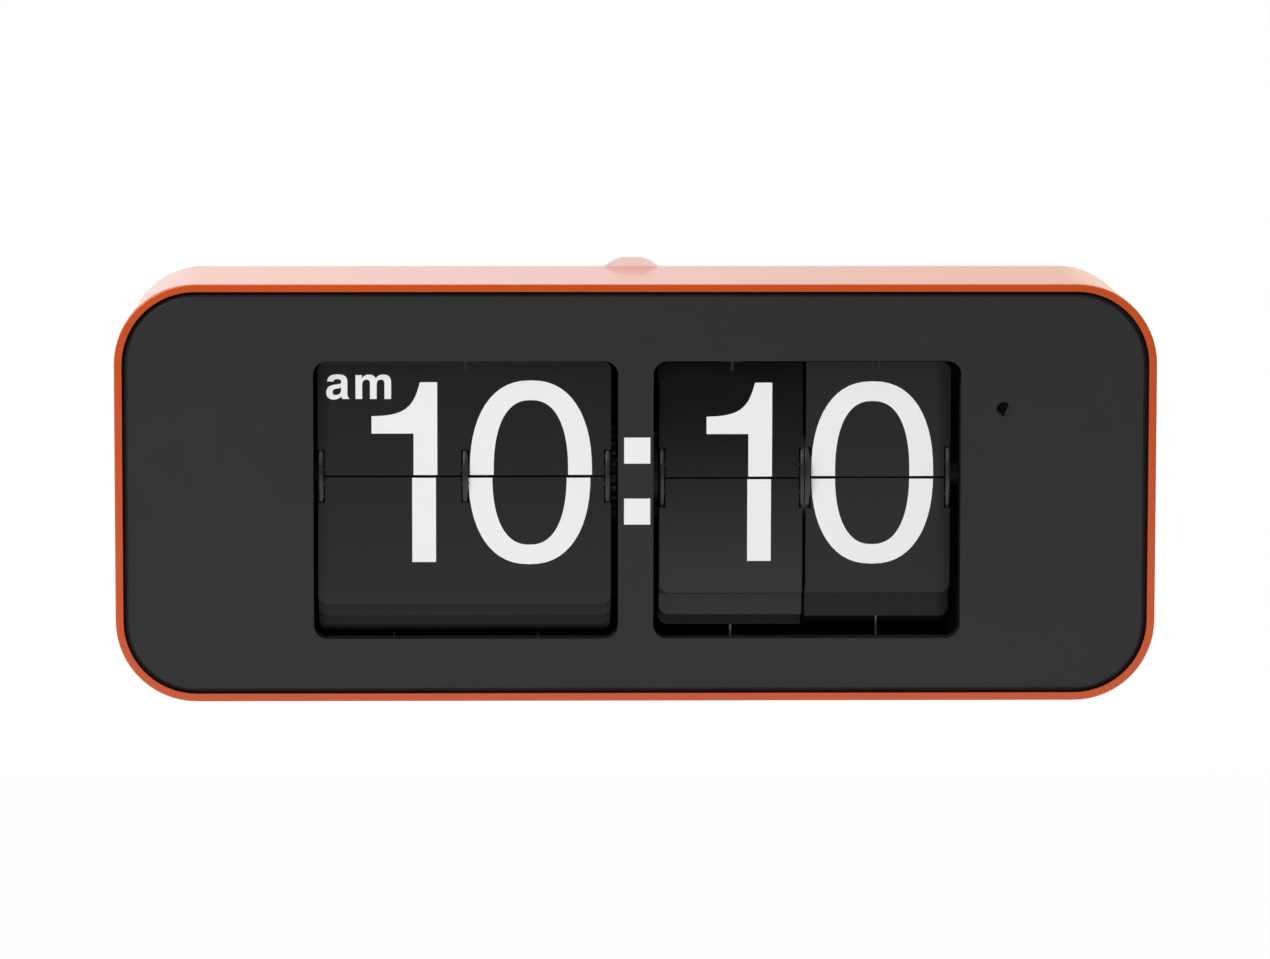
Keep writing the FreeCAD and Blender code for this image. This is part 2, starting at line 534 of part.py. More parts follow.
def motor_coil():
    """The bobbin with its winding on the stator's limb."""
    x = STATOR_X + STATOR_T / 2
    low, high = ROTOR_Z - 3.8, ROTOR_Z + 3.8
    spool = joined([rod_z(x, COIL_Y, low, high, COIL_R - 0.8),
                    rod_z(x, COIL_Y, low, low + 0.8, COIL_R),
                    rod_z(x, COIL_Y, high - 0.8, high, COIL_R)])
    limb = block(STATOR_X, STATOR_X + STATOR_T, COIL_Y - 1.5, COIL_Y + 1.5, low - 1, high + 1)
    return spool.cut(limb)


def motor_plate():
    """The moulded plate that bears the inner ends of the motor's arbors."""
    end = MOTOR_PLATE_X + MOTOR_PLATE_T
    plate = rounded_plate_x(MOTOR_PLATE_X, end, SECONDS_Y - 6, 4.0, SECONDS_Z - 8, ROTOR_Z + 10.5, 2.0)
    posts = [rod_x(end, OUTER_X, y, z, 2.0)
             for y, z in ((SECONDS_Y - 3.5, SECONDS_Z + 14), (1.5, SECONDS_Z - 5))]
    holes = [rod_x(MOTOR_PLATE_X - 1, end + 1, SECONDS_Y, SECONDS_Z, 0.96),
             rod_x(MOTOR_PLATE_X - 1, end + 1, ROTOR_Y, ROTOR_Z, 0.66)]
    return joined([plate] + posts).cut(holes)


def rounded_plate_x(x0, x1, y0, y1, z0, z1, radius):
    """A plate in the YZ plane with four round corners."""
    plate = block(x0, x1, y0, y1, z0, z1)
    return plate.makeFillet(radius, [e for e in plate.Edges if along(e, X_AXIS)])


def circuit_board():
    """The board on two pillars, with the clock chip and a capacitor on it."""
    board = rounded_plate_x(BOARD_X, BOARD_X + BOARD_T, -14, 20, 62, 108, 1.5)
    pillar_holes = [rod_x(BOARD_X - 1, BOARD_X + 3, 3, z, 1.2) for z in (66, 104)]
    chip = block(BOARD_X + BOARD_T, BOARD_X + BOARD_T + 1.6, -4, 6, 78, 88)
    capacitor = rod_x(BOARD_X + BOARD_T, BOARD_X + BOARD_T + 7, 13, 72, 2.5)
    return Part.makeCompound([board.cut(pillar_holes), chip, capacitor])


def train_nodes():
    crystal = rod_z(BOARD_X + BOARD_T + 1.5, -9, 76, 84, 1.5)
    return {"units_drive_gear": units_drive_gear(), "seconds_wheel": seconds_wheel(),
            "motor_rotor": motor_rotor(), "setting_wheel": setting_wheel(),
            "motor_stator": motor_stator(), "motor_coil": motor_coil(),
            "motor_plate": motor_plate(), "circuit_board": circuit_board(),
            "quartz_crystal": crystal}


# Frame

def upright(x, back, tab_side, holes):
    """A sheet bracket between the two bars, with a screwed tab at its top and its bottom."""
    end = x + SHEET_T
    plate = rounded_plate_x(x, end, BRACKET_FRONT, back, BOTTOM_BAR_Z, TOP_BAR_Z, 3.0)
    tab_x = (end, end + TAB_LENGTH) if tab_side > 0 else (x - TAB_LENGTH, x)
    parts = [plate]
    for low, high in ((TOP_BAR_Z - SHEET_T, TOP_BAR_Z), (BOTTOM_BAR_Z, BOTTOM_BAR_Z + SHEET_T)):
        parts.append(block(tab_x[0], tab_x[1], TAB_Y - 4, TAB_Y + 4, low, high))
    middle = (tab_x[0] + tab_x[1]) / 2
    cuts = [rod_z(middle, TAB_Y, TOP_BAR_Z - 3, TOP_BAR_Z + 1, SCREW_R),
            rod_z(middle, TAB_Y, BOTTOM_BAR_Z - 1, BOTTOM_BAR_Z + 3, SCREW_R)]
    cuts += [rod_x(x - 1, end + 1, y, z, r) for y, z, r in holes]
    return joined(parts).cut(cuts), middle


def bar(web_z, back, post_z, tab_xs):
    """An L-shaped bar, screwed to the panel's posts and to the brackets' tabs."""
    web = block(LEFT_X - TAB_LENGTH, PLATE_END, FRAME_FRONT, back, web_z, web_z + SHEET_T)
    flange = block(LEFT_X, PLATE_END, FRAME_FRONT, BRACKET_FRONT, web_z, web_z + FLANGE_HEIGHT)
    cuts = [rod_y(x, post_z, FRAME_FRONT - 1, FRAME_FRONT + 3, SCREW_R + 0.3) for x in POST_XS]
    cuts += [rod_z(x, TAB_Y, web_z - 3, web_z + 3, SCREW_R + 0.3) for x in tab_xs]
    return joined([web, flange]).cut(cuts)


def screw(x, y, z, tilt, length):
    """A pan-head screw whose shank points down until it is tilted about X. Its seat is at x, y, z."""
    head = rod_z(0, 0, 0, SCREW_HEAD_T, SCREW_HEAD_R)
    head = head.makeChamfer(0.5, [head.Edges[0]])
    cross = [block(-1.5, 1.5, -0.35, 0.35, SCREW_HEAD_T - 0.9, SCREW_HEAD_T + 1),
             block(-0.35, 0.35, -1.5, 1.5, SCREW_HEAD_T - 0.9, SCREW_HEAD_T + 1)]
    shape = joined([head, rod_z(0, 0, -length, 0, SCREW_R)]).cut(cross)
    shape.rotate(FreeCAD.Vector(), X_AXIS, tilt)
    shape.translate(FreeCAD.Vector(x, y, z))
    return shape


def frame_nodes():
    axle_fit = (AXLE_Y, AXLE_Z, AXLE_R)
    left, left_tab = upright(LEFT_X, FRAME_BACK, -1, [axle_fit])
    centre, centre_tab = upright(-SHEET_T / 2, FRAME_BACK, 1,
                                 [axle_fit, (AXLE_Y + CARRY_DISTANCE, AXLE_Z, 2.56)])
    right, right_tab = upright(RIGHT_X, FRAME_DEEP_BACK, 1,
                               [(AXLE_Y, AXLE_Z, HUB_R + 0.3), (SECONDS_Y, SECONDS_Z, 0.96),
                                (SETTING_Y, AXLE_Z, 1.56)])
    outer, outer_tab = upright(OUTER_X, FRAME_DEEP_BACK, -1,
                               [axle_fit, (SECONDS_Y, SECONDS_Z, 0.96), (ROTOR_Y, ROTOR_Z, 0.66),
                                (SETTING_Y, AXLE_Z, 1.56)])
    board_pillars = [rod_x(PLATE_END, BOARD_X, 3, z, 2.2) for z in (66, 104)]
    stator_posts = [rod_x(STATOR_X + STATOR_T, OUTER_X, ROTOR_Y - 4.5, ROTOR_Z + turn * 6.2, 1.2)
                    for turn in (-1, 1)]
    outer = joined([outer] + board_pillars + stator_posts)
    tabs = (left_tab, centre_tab, right_tab, outer_tab)
    top_bar = bar(TOP_BAR_Z, -15.0, POST_TOP_Z, tabs)
    bottom_bar = bar(BOTTOM_BAR_Z - SHEET_T, -13.0, POST_BOTTOM_Z, tabs)
    screws = [screw(x, TAB_Y, TOP_BAR_Z + SHEET_T, 0, 5.0) for x in tabs]
    screws += [screw(x, TAB_Y, BOTTOM_BAR_Z - SHEET_T, 180, 5.0) for x in tabs]
    screws += [screw(x, BRACKET_FRONT, z, -90, 6.5)
               for x in POST_XS for z in (POST_TOP_Z, POST_BOTTOM_Z)]
    axle_ends = LEFT_X - 3.0, PLATE_END + 3.0
    axle = rod_x(axle_ends[0], axle_ends[1], AXLE_Y, AXLE_Z, AXLE_R)
    grooves = [LEFT_X - 1.2, PLATE_END + 0.2]
    clips = []
    for x in grooves:
        groove = turned([(x, 1.5), (x, 3), (x + 1.0, 3), (x + 1.0, 1.5)])
        axle = axle.cut(groove)
        clip = turned([(x + 0.1, 1.5), (x + 0.1, 3.6), (x + 0.9, 3.6), (x + 0.9, 1.5)])
        clips.append(clip.cut(block(x, x + 1, AXLE_Y - 1.3, AXLE_Y + 1.3, AXLE_Z - 5, AXLE_Z)))
    return {"left_bracket": left, "centre_bracket": centre, "right_bracket": right,
            "movement_plate": outer, "top_bar": top_bar, "bottom_bar": bottom_bar,
            "frame_screws": Part.makeCompound(screws), "drum_axle": axle,
            "axle_clips": Part.makeCompound(clips)}


# Case

CASE = (-WIDTH / 2, WIDTH / 2, 0.0, HEIGHT, CORNER_R)
BOSS_INSET = CORNER_R - (CORNER_R - WALL - 4.0 + 0.1) / math.sqrt(2)
BOSS_R, BOSS_FRONT, BOSS_PILOT_R = 4.0, 12.0, 1.4
COVER_SCREWS = [(x, z) for x in (-WIDTH / 2 + BOSS_INSET, WIDTH / 2 - BOSS_INSET)
                for z in (BOSS_INSET, HEIGHT - BOSS_INSET)]


def inset(outline, amount):
    x0, x1, z0, z1, radius = outline
    return x0 + amount, x1 - amount, z0 + amount, z1 - amount, radius - amount


def case_shell():
    """The painted band round the works, with a ledge behind the panel and four bosses for the cover."""
    body = rounded_plate(*CASE, FRONT_Y, COVER_Y)
    front_edges = [e for e in body.Edges if abs(e.BoundBox.YMin - FRONT_Y) < 1e-6
                   and abs(e.BoundBox.YMax - FRONT_Y) < 1e-6]
    body = body.makeFillet(RIM_FILLET, front_edges)
    inner = inset(CASE, WALL)
    body = body.cut(rounded_plate(*inner, FRONT_Y - 1, COVER_Y + 1))
    ledge = rounded_plate(*inner, PANEL_BACK_Y, PANEL_BACK_Y + LEDGE_T)
    ledge = ledge.cut(rounded_plate(*inset(inner, LEDGE_WIDTH), PANEL_BACK_Y - 1, PANEL_BACK_Y + 3))
    bosses = [rod_y(x, z, BOSS_FRONT, COVER_Y, BOSS_R) for x, z in COVER_SCREWS]
    pilots = [rod_y(x, z, BOSS_FRONT + 2, COVER_Y + 1, BOSS_PILOT_R) for x, z in COVER_SCREWS]
    outside = rounded_plate(*inset(CASE, WALL / 2), BOSS_FRONT - 1, COVER_Y + 1)
    bosses = [boss.common(outside) for boss in bosses]
    return joined([body, ledge] + bosses).cut(pilots)


def window_surround(x0, x1):
    """The wall behind a window's lower edge and its sides, lower at the side of the gears."""
    wall = rounded_plate(x0 - SILL_T, x1 + SILL_T, WINDOW_BOTTOM - SILL_T, WINDOW_TOP + SILL_T,
                         WINDOW_R + SILL_T, PANEL_BACK_Y, SILL_Y)
    inner = (x0, x0 + WINDOW_R) if x0 > 0 else (x1 - WINDOW_R, x1)
    cuts = [block(x0 - 2, x1 + 2, PANEL_BACK_Y, SILL_Y + 1, WINDOW_TOP - 6.0, WINDOW_TOP + 3),
            block(inner[0] - 2, inner[1] + 2, CHEEK_Y, SILL_Y + 1, WINDOW_BOTTOM + 8.0, WINDOW_TOP)]
    return wall.cut(cuts)


def front_panel():
    """The dark panel: a bevelled border, two windows, sunk seats for the dots, and posts behind."""
    outline = inset(CASE, WALL + PANEL_GAP)
    slab = rounded_plate(*outline, PANEL_Y + BEVEL_DEPTH, PANEL_BACK_Y)
    face = tapered_plate(outline, BEVEL_WIDTH, PANEL_Y, PANEL_Y + BEVEL_DEPTH)
    panel = joined([slab, face] + [window_surround(x0, x1) for x0, x1 in WINDOWS])
    cuts = [rounded_plate(x0, x1, WINDOW_BOTTOM, WINDOW_TOP, WINDOW_R, PANEL_Y - 1, SILL_Y + 1)
            for x0, x1 in WINDOWS]
    half = DOT_SIZE / 2
    cuts += [block(DOT_X - half, DOT_X + half, PANEL_Y - 1, PANEL_Y + DOT_SUNK, z - half, z + half)
             for z in DOT_ZS]
    cuts.append(rod_y(PEEP_X, PEEP_Z, PANEL_Y - 1, PANEL_BACK_Y + 1, PEEP_R))
    panel = panel.cut(cuts)
    spots = [(x, z) for x in POST_XS for z in (POST_TOP_Z, POST_BOTTOM_Z)]
    posts = [rod_y(x, z, PANEL_BACK_Y, FRAME_FRONT, POST_R) for x, z in spots]
    pilots = [rod_y(x, z, PANEL_BACK_Y + 0.6, FRAME_FRONT + 1, SCREW_R) for x, z in spots]
    return joined([panel] + posts).cut(pilots)


def dot_inlays():
    half = DOT_SIZE / 2
    return Part.makeCompound([block(DOT_X - half, DOT_X + half, PANEL_Y - DOT_PROUD, PANEL_Y + DOT_SUNK,
                                    z - half, z + half) for z in DOT_ZS])


def back_cover():
    """The back plate with the hanging ear, the battery opening and the setting wheel's slot."""
    plate = rounded_plate(*CASE, COVER_Y, BACK_Y)
    ear = rod_y(0, EAR_Z, COVER_Y, BACK_Y, EAR_R)
    ear = ear.cut(block(-EAR_R, EAR_R, COVER_Y - 1, BACK_Y + 1, EAR_TOP, EAR_TOP + EAR_R))
    plate = joined([plate, ear])
    x0, x1, z0, z1 = BAY
    slot_x0, slot_x1, slot_z0, slot_z1 = THUMB_SLOT
    cuts = [block(x0, x1, COVER_Y - 1, BACK_Y + 1, z0, z1),
            rounded_plate(slot_x0, slot_x1, slot_z0, slot_z1, 3.0, COVER_Y - 1, BACK_Y + 1),
            rod_y(0, KEYHOLE_Z, COVER_Y - 1, BACK_Y + 1, KEYHOLE_R),
            rod_y(0, KEYHOLE_Z + KEYHOLE_RISE, COVER_Y - 1, BACK_Y + 1, KEYHOLE_SLOT_R),
            block(-KEYHOLE_SLOT_R, KEYHOLE_SLOT_R, COVER_Y - 1, BACK_Y + 1,
                  KEYHOLE_Z, KEYHOLE_Z + KEYHOLE_RISE),
            rod_x(x0 - 2, x1 + 2, DOOR_AXIS_Y, DOOR_AXIS_Z, DOOR_STUB_HOLE_R)]
    for x, z in COVER_SCREWS:
        cuts.append(rod_y(x, z, COVER_Y - 1, BACK_Y + 1, BOSS_PILOT_R + 0.3))
        cuts.append(rod_y(x, z, BACK_Y - 1.5, BACK_Y + 1, SCREW_HEAD_R + 0.5))
    return plate.cut(cuts)


DOOR_AXIS_Y = (COVER_Y + BACK_Y) / 2
DOOR_AXIS_Z = BAY[2] + DOOR_GAP + COVER_T / 2


def battery_door():
    """The door over the battery. Its round lower edge turns on two stubs."""
    x0, x1 = BAY[0] + DOOR_GAP, BAY[1] - DOOR_GAP
    top = BAY[3] - DOOR_GAP
    plate = block(x0, x1, COVER_Y, BACK_Y, DOOR_AXIS_Z, top)
    edge = rod_x(x0, x1, DOOR_AXIS_Y, DOOR_AXIS_Z, COVER_T / 2)
    stubs = rod_x(x0 - DOOR_STUB, x1 + DOOR_STUB, DOOR_AXIS_Y, DOOR_AXIS_Z, DOOR_STUB_R)
    middle = (x0 + x1) / 2
    groove = rod_x(middle - 9, middle + 9, BACK_Y + 2.2, top - 6, 3.2)
    return joined([plate, edge, stubs]).cut(groove)


def battery_box():
    """The tray round the battery, open to the back, with a flange against the cover."""
    x0, x1, z0, z1 = BAY
    w = BAY_WALL
    outer = block(x0 - w, x1 + w, BAY_FRONT - w, COVER_Y, z0 - w, z1 + w)
    flange = rounded_plate(x0 - 6, x1 + 6, z0 - 6, z1 + 6, 3.0, COVER_Y - w, COVER_Y)
    cavity = block(x0, x1, BAY_FRONT, COVER_Y + 1, z0, z1)
    return joined([outer, flange]).cut(cavity)


CELL_X, CELL_Y = (BAY[0] + BAY[1]) / 2, BAY_FRONT + CELL_R + 0.3
CELL_BOTTOM = BAY[2] + 2.6


def battery_cell():
    """One large round cell, standing with its nub up."""
    top = CELL_BOTTOM + CELL_LENGTH
    body = rod_z(CELL_X, CELL_Y, CELL_BOTTOM, top - NUB_HEIGHT, CELL_R)
    body = body.makeFillet(1.2, [e for e in body.Edges if isinstance(e.Curve, Part.Circle)])
    return joined([body, rod_z(CELL_X, CELL_Y, top - NUB_HEIGHT - 1, top, NUB_R)])


def battery_contacts():
    """A flat strip above the nub and a bowed one under the cell, each with a solder tag."""
    top = CELL_BOTTOM + CELL_LENGTH
    plus = block(CELL_X - 6, BAY[1], CELL_Y - 5, CELL_Y + 5, top, top + 0.5)
    low = BAY[2]
    bow = [FreeCAD.Vector(CELL_X - 12, CELL_Y, low + 0.5), FreeCAD.Vector(CELL_X, CELL_Y, CELL_BOTTOM),
           FreeCAD.Vector(CELL_X + 12, CELL_Y, low + 0.5)]
    outer = Part.Arc(*bow).toShape()
    drop = FreeCAD.Vector(0, 0, -0.45)
    inner = Part.Arc(*[p + drop for p in bow]).toShape()
    ends = [Part.makeLine(bow[0], bow[0] + drop), Part.makeLine(bow[2], bow[2] + drop)]
    strip = Part.Face(Part.Wire([outer, ends[1], inner, ends[0]]))
    strip = strip.extrude(FreeCAD.Vector(0, 8, 0))
    strip.translate(FreeCAD.Vector(0, -4, 0))
    foot = block(CELL_X + 11.6, BAY[1], CELL_Y - 4, CELL_Y + 4, low, low + 0.5)
    return Part.makeCompound([plus, joined([strip, foot])])


def battery_leads():
    """Two thin leads from the battery box, along the floor of the case behind the drums, to the board."""
    wall, bend = BAY[1] + BAY_WALL, 5.0
    leads = []
    for start_z, x_down, y, z, end_y in ((98.0, -117.5, 34.0, 6.5, 17.0), (48.0, -120.5, 31.0, 5.5, -11.0)):
        leads.append(tube([(wall, 22.0, start_z), (x_down, 22.0, start_z), (x_down, y, start_z - 18),
                           (x_down, y, z), (BOARD_X + 0.8, y, z), (BOARD_X + 0.8, end_y, z + 12),
                           (BOARD_X + 0.8, end_y, 62.0)], 0.8, bend))
    return Part.makeCompound(leads)


def case_nodes():
    head_seat = BACK_Y - 1.5
    screws = []
    for x, z in COVER_SCREWS:
        shank = rod_y(x, z, head_seat - 12, head_seat, BOSS_PILOT_R)
        head = rod_y(x, z, head_seat, head_seat + 1.3, SCREW_HEAD_R + 0.2)
        slot = block(x - 0.4, x + 0.4, head_seat + 0.7, head_seat + 2, z - 2.0, z + 2.0)
        screws.append(joined([shank, head]).cut(slot))
    return {"case_shell": case_shell(), "front_panel": front_panel(), "dot_inlays": dot_inlays(),
            "back_cover": back_cover(), "cover_screws": Part.makeCompound(screws),
            "battery_door": battery_door(), "battery_box": battery_box(),
            "battery_cell": battery_cell(), "battery_contacts": battery_contacts(),
            "battery_leads": battery_leads()}


def write_parts():
    nodes = {}
    for group in (case_nodes(), frame_nodes(), drum_nodes(), train_nodes()):
        nodes.update(group)
    os.makedirs("parts", exist_ok=True)
    for name, shape in nodes.items():
        solids = len(shape.Solids)
        print("%-22s solids %2d valid %s volume %.1f" % (name, solids, shape.isValid(), shape.Volume))
        shape.exportStep("parts/%s.step" % name)
    print("nodes", len(nodes))


write_parts()
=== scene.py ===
import bmesh
import bpy
import json
import math
from mathutils import Matrix, Vector


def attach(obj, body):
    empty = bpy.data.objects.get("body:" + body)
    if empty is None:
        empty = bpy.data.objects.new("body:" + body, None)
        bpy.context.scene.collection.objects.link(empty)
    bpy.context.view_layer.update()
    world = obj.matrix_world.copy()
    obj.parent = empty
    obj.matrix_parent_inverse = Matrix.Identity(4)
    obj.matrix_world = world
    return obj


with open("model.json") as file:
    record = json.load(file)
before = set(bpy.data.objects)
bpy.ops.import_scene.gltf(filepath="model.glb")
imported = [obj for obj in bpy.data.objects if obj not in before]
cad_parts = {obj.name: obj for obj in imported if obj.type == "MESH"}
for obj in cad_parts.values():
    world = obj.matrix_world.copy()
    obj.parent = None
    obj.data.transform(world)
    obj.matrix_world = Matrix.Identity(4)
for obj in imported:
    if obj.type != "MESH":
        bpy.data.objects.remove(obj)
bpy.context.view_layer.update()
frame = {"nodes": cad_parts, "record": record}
nodes = frame["nodes"]

# Sizes are in millimetres, as in the solids, and go into the scene times MM
MM = 0.001
# The drums: their axle, the circle of the leaves' pins, and the thickness of a leaf
AXLE_Y, AXLE_Z, HINGE_R, LEAF_T = -16.0, 77.6, 18.4, 0.5
# A print: how far it stands out of the leaf, how deep it is set in, and its distance from the hinge line
PRINT_T, PRINT_SUNK, PRINT_GAP = 0.05, 0.02, 0.5
# The case: half its width and height, its corners, half its wall, and the fronts of its panel and cover
HALF_WIDTH, HALF_HEIGHT, CASE_R, HALF_WALL = 180.0, 72.5, 28.0, 1.5
PANEL_Y, COVER_Y = -39.0, 37.5


# Shader maths

class Value:
    """A socket of a finish. Arithmetic on it adds Math nodes."""

    def __init__(self, finish, socket):
        self.finish, self.socket = finish, socket

    def maths(self, operation, first, second=0.0):
        return self.finish.node("ShaderNodeMath", {"operation": operation}, {0: first, 1: second})

    def __add__(self, other):
        return self.maths("ADD", self, other)

    __radd__ = __add__

    def __sub__(self, other):
        return self.maths("SUBTRACT", self, other)

    def __rsub__(self, other):
        return self.maths("SUBTRACT", other, self)

    def __mul__(self, other):
        return self.maths("MULTIPLY", self, other)

    def __gt__(self, other):
        return self.maths("GREATER_THAN", self, other)

    def __pow__(self, other):
        return self.maths("POWER", self, other)

    def wave(self):
        return self.maths("SINE", self)

    def size(self):
        return self.maths("ABSOLUTE", self)

    def least(self, other):
        return self.maths("MINIMUM", self, other)

    def most(self, other):
        return self.maths("MAXIMUM", self, other)


class Finish:
    """A node material, or the world, with short ways to build it."""

    def __init__(self, name, owner=None):
        self.owner = owner or bpy.data.materials.new(name)
        self.owner.use_nodes = True
        self.tree = self.owner.node_tree
        self.shader = self.tree.nodes.get("Principled BSDF")

    def feed(self, socket, value):
        """A link where the value is a socket, and otherwise the value itself."""
        if isinstance(value, Value):
            self.tree.links.new(value.socket, socket)
        else:
            socket.default_value = value

    def node(self, kind, settings=None, inputs=None, output=0):
        """A node of a kind, with its settings first and then its inputs."""
        made = self.tree.nodes.new(kind)
        for name, value in (settings or {}).items():
            if name == "stops":
                self.set_stops(made.color_ramp, value)
            else:
                setattr(made, name, value)
        for name, value in (inputs or {}).items():
            self.feed(made.inputs[name], value)
        return Value(self, made.outputs[output])

    @staticmethod
    def set_stops(ramp, stops):
        while len(ramp.elements) < len(stops):
            ramp.elements.new(0.5)
        for element, (place, level) in zip(ramp.elements, stops):
            element.position = place
            element.color = (level, level, level, 1)

    def place(self, stretch=(1, 1, 1)):
        """Where a point is in the row frame at rest, stretched along each axis."""
        spot = self.node("ShaderNodeTexCoord", output="Object")
        return self.node("ShaderNodeVectorMath", {"operation": "MULTIPLY"}, {0: spot, 1: stretch})

    def axis(self, letter):
        return self.node("ShaderNodeSeparateXYZ", inputs={0: self.place()}, output=letter)

    def noise(self, scale, detail=2.0, stretch=(1, 1, 1)):
        """Soft noise from 0 to 1, with scale in patterns per metre."""
        return self.node("ShaderNodeTexNoise", inputs={"Vector": self.place(stretch), "Scale": scale,
                                                       "Detail": detail, "Roughness": 0.55})

    def steps(self, value, *stops):
        """A ramp over a value from 0 to 1, by its (place, level) stops."""
        return self.node("ShaderNodeValToRGB", {"stops": stops}, {0: value})

    def mix(self, share, first, second):
        """One colour blended into another."""
        return self.node("ShaderNodeMix", {"data_type": "RGBA"},
                         {0: share, 6: (*first, 1) if isinstance(first, tuple) else first,
                          7: (*second, 1) if isinstance(second, tuple) else second}, output=2)

    def bump(self, height, distance, strength=1.0):
        made = self.node("ShaderNodeBump", inputs={"Height": height, "Distance": distance,
                                                   "Strength": strength})
        self.tree.links.new(made.socket, self.shader.inputs["Normal"])

    def rays(self):
        """What kind of ray meets the surface, by its name."""
        path = self.node("ShaderNodeLightPath")
        return {kind: Value(self, path.socket.node.outputs["Is %s Ray" % kind])
                for kind in ("Camera", "Glossy", "Transmission")}

    def surface(self, **inputs):
        """Feeds the shader's inputs, each by its name."""
        for name, value in inputs.items():
            self.feed(self.shader.inputs[name.replace("_", " ")], value)


# Finishes

CASE_ORANGE = (0.62, 0.082, 0.011)
LEAF_BLACK = (0.005, 0.005, 0.0052)


def tinted(colour, amount):
    return tuple(channel * amount for channel in colour)


def moulded(name, colour, roughness, tone=0.12, rim_shadow_tone=None):
    """Moulded plastic: a fine spark-eroded grain, faint flow marks and uneven gloss.

    With a border, the slope round the panel's edge is darkened by it as a painted shadow of the rim, more
    so towards the top, and duller."""
    finish = Finish(name)
    flow, patches = finish.noise(22.0, 3.0), finish.noise(70.0, 4.0)
    base = finish.mix(flow, tinted(colour, 1 - tone), tinted(colour, 1 + tone))
    gloss = roughness + (patches - 0.5) * 0.12
    # Painted shadow of the rim on the panel's sloped border, stronger towards the top.
    if rim_shadow_tone is not None:
        towards_top = finish.steps(finish.axis("Z"), (30.0 * MM, 0.0), (125.0 * MM, 1.0))
        painted_rim_shadow = (finish.axis("Y") > (PANEL_Y + 0.03) * MM) * towards_top
        base, gloss = finish.mix(painted_rim_shadow, base, tinted(colour, rim_shadow_tone)), gloss + painted_rim_shadow * 0.4
    finish.surface(Base_Color=base, Roughness=gloss)
    finish.bump(finish.noise(2600.0, 2.0), 0.00002)
    return finish.owner


def inside_the_case(finish):
    """1 on what lies deeper than half the wall inside the case's outline and between panel and cover."""
    across = finish.axis("X").size()
    up = (finish.axis("Z") - HALF_HEIGHT * MM).size()
    past_across = (across - (HALF_WIDTH - CASE_R) * MM).most(0.0)
    past_up = (up - (HALF_HEIGHT - CASE_R) * MM).most(0.0)
    from_corner = CASE_R * MM - (past_across * past_across + past_up * past_up) ** 0.5
    from_side = (HALF_WIDTH * MM - across).least(HALF_HEIGHT * MM - up)
    behind = finish.axis("Y") > (PANEL_Y + 0.1) * MM
    before = ((COVER_Y + 0.01) * MM - finish.axis("Y")) > 0.0
    return (from_corner.least(from_side) > HALF_WALL * MM) * behind * before


def lacquered(name, painted_ear_highlight=None):
    """The case's glossy plastic: a clear skin with a slight ripple and wipe marks, and black inside.

    The ear's colour, where it is given, is painted on its front as a painted highlight."""
    finish = Finish(name)
    flow = finish.noise(9.0, 2.0)
    wiped = finish.noise(160.0, 5.0, (0.15, 1, 1))
    skin = finish.mix(flow, tinted(CASE_ORANGE, 0.96), tinted(CASE_ORANGE, 1.04))
    if painted_ear_highlight:
        # Painted highlight: the front of the ear above the case is painted nearly white.
        above = finish.axis("Z") > (2 * HALF_HEIGHT - 0.02) * MM
        in_front = ((COVER_Y + 0.4) * MM - finish.axis("Y")) > 0.0
        skin = finish.mix(above * in_front, skin, painted_ear_highlight)
    hidden = inside_the_case(finish)
    finish.surface(Base_Color=finish.mix(hidden, skin, (0.01, 0.01, 0.01)), Coat_Roughness=0.12,
                   Roughness=0.15 + (wiped - 0.5) * 0.08 + hidden * 0.35,
                   Coat_Weight=(0.3 + (wiped - 0.5) * 0.2) * (1 - hidden))
    finish.bump(finish.noise(260.0, 1.0), 0.00004, 0.35)
    return finish.owner


def leaf_skin(name, roughness, lean, bends=(), ends=(), colour=LEAF_BLACK):
    """Smooth dark sheet with faint handling marks. Its lean sets how much light it mirrors.

    Each bend is a height and the lean below it. Each end is a place across, its side, and the lean that
    every millimetre beyond it adds."""
    finish = Finish(name)
    across, high = finish.axis("X"), finish.axis("Z")
    rubbed_and_painted_light = finish.noise(120.0, 4.0, (0.4, 1, 1))
    height = (high - AXLE_Z * MM) * lean
    for level, below in bends:
        height = height + (high - level * MM).least(0.0) * (below - lean)
        lean = below
    for edge, side, change in ends:
        beyond = ((across - edge * MM) * side).most(0.0)
        height = height + beyond * (high - AXLE_Z * MM) * (change / MM)
    finish.surface(Base_Color=finish.mix(rubbed_and_painted_light, tinted(colour, 0.8), tinted(colour, 1.2)),
                   Roughness=roughness + (rubbed_and_painted_light - 0.5) * 0.04)
    finish.bump(height + finish.noise(1500.0, 2.0) * 0.000003, 1.0)
    return finish.owner


def inked(name, colour):
    """Screen-printed ink: a little uneven, with a fine mesh mark."""
    finish = Finish(name)
    cover = finish.noise(900.0, 4.0)
    finish.surface(Base_Color=finish.mix(cover, tinted(colour, 0.97), colour),
                   Roughness=0.5 + (cover - 0.5) * 0.2)
    finish.bump(finish.noise(5200.0, 1.0), 0.00001)
    return finish.owner


def plated(name, colour, roughness, stretch=(1, 1, 12)):
    """Rolled and plated metal: long scratches, dull spots and a faint bloom."""
    finish = Finish(name)
    rolled = finish.noise(900.0, 3.0, stretch)
    bloom = finish.noise(45.0, 4.0)
    finish.surface(Base_Color=finish.mix(bloom, tinted(colour, 0.82), colour), Metallic=1.0,
                   Roughness=roughness + (rolled - 0.5) * 0.22 + (bloom - 0.5) * 0.12)
    finish.bump(rolled, 0.00002, 0.5)
    return finish.owner


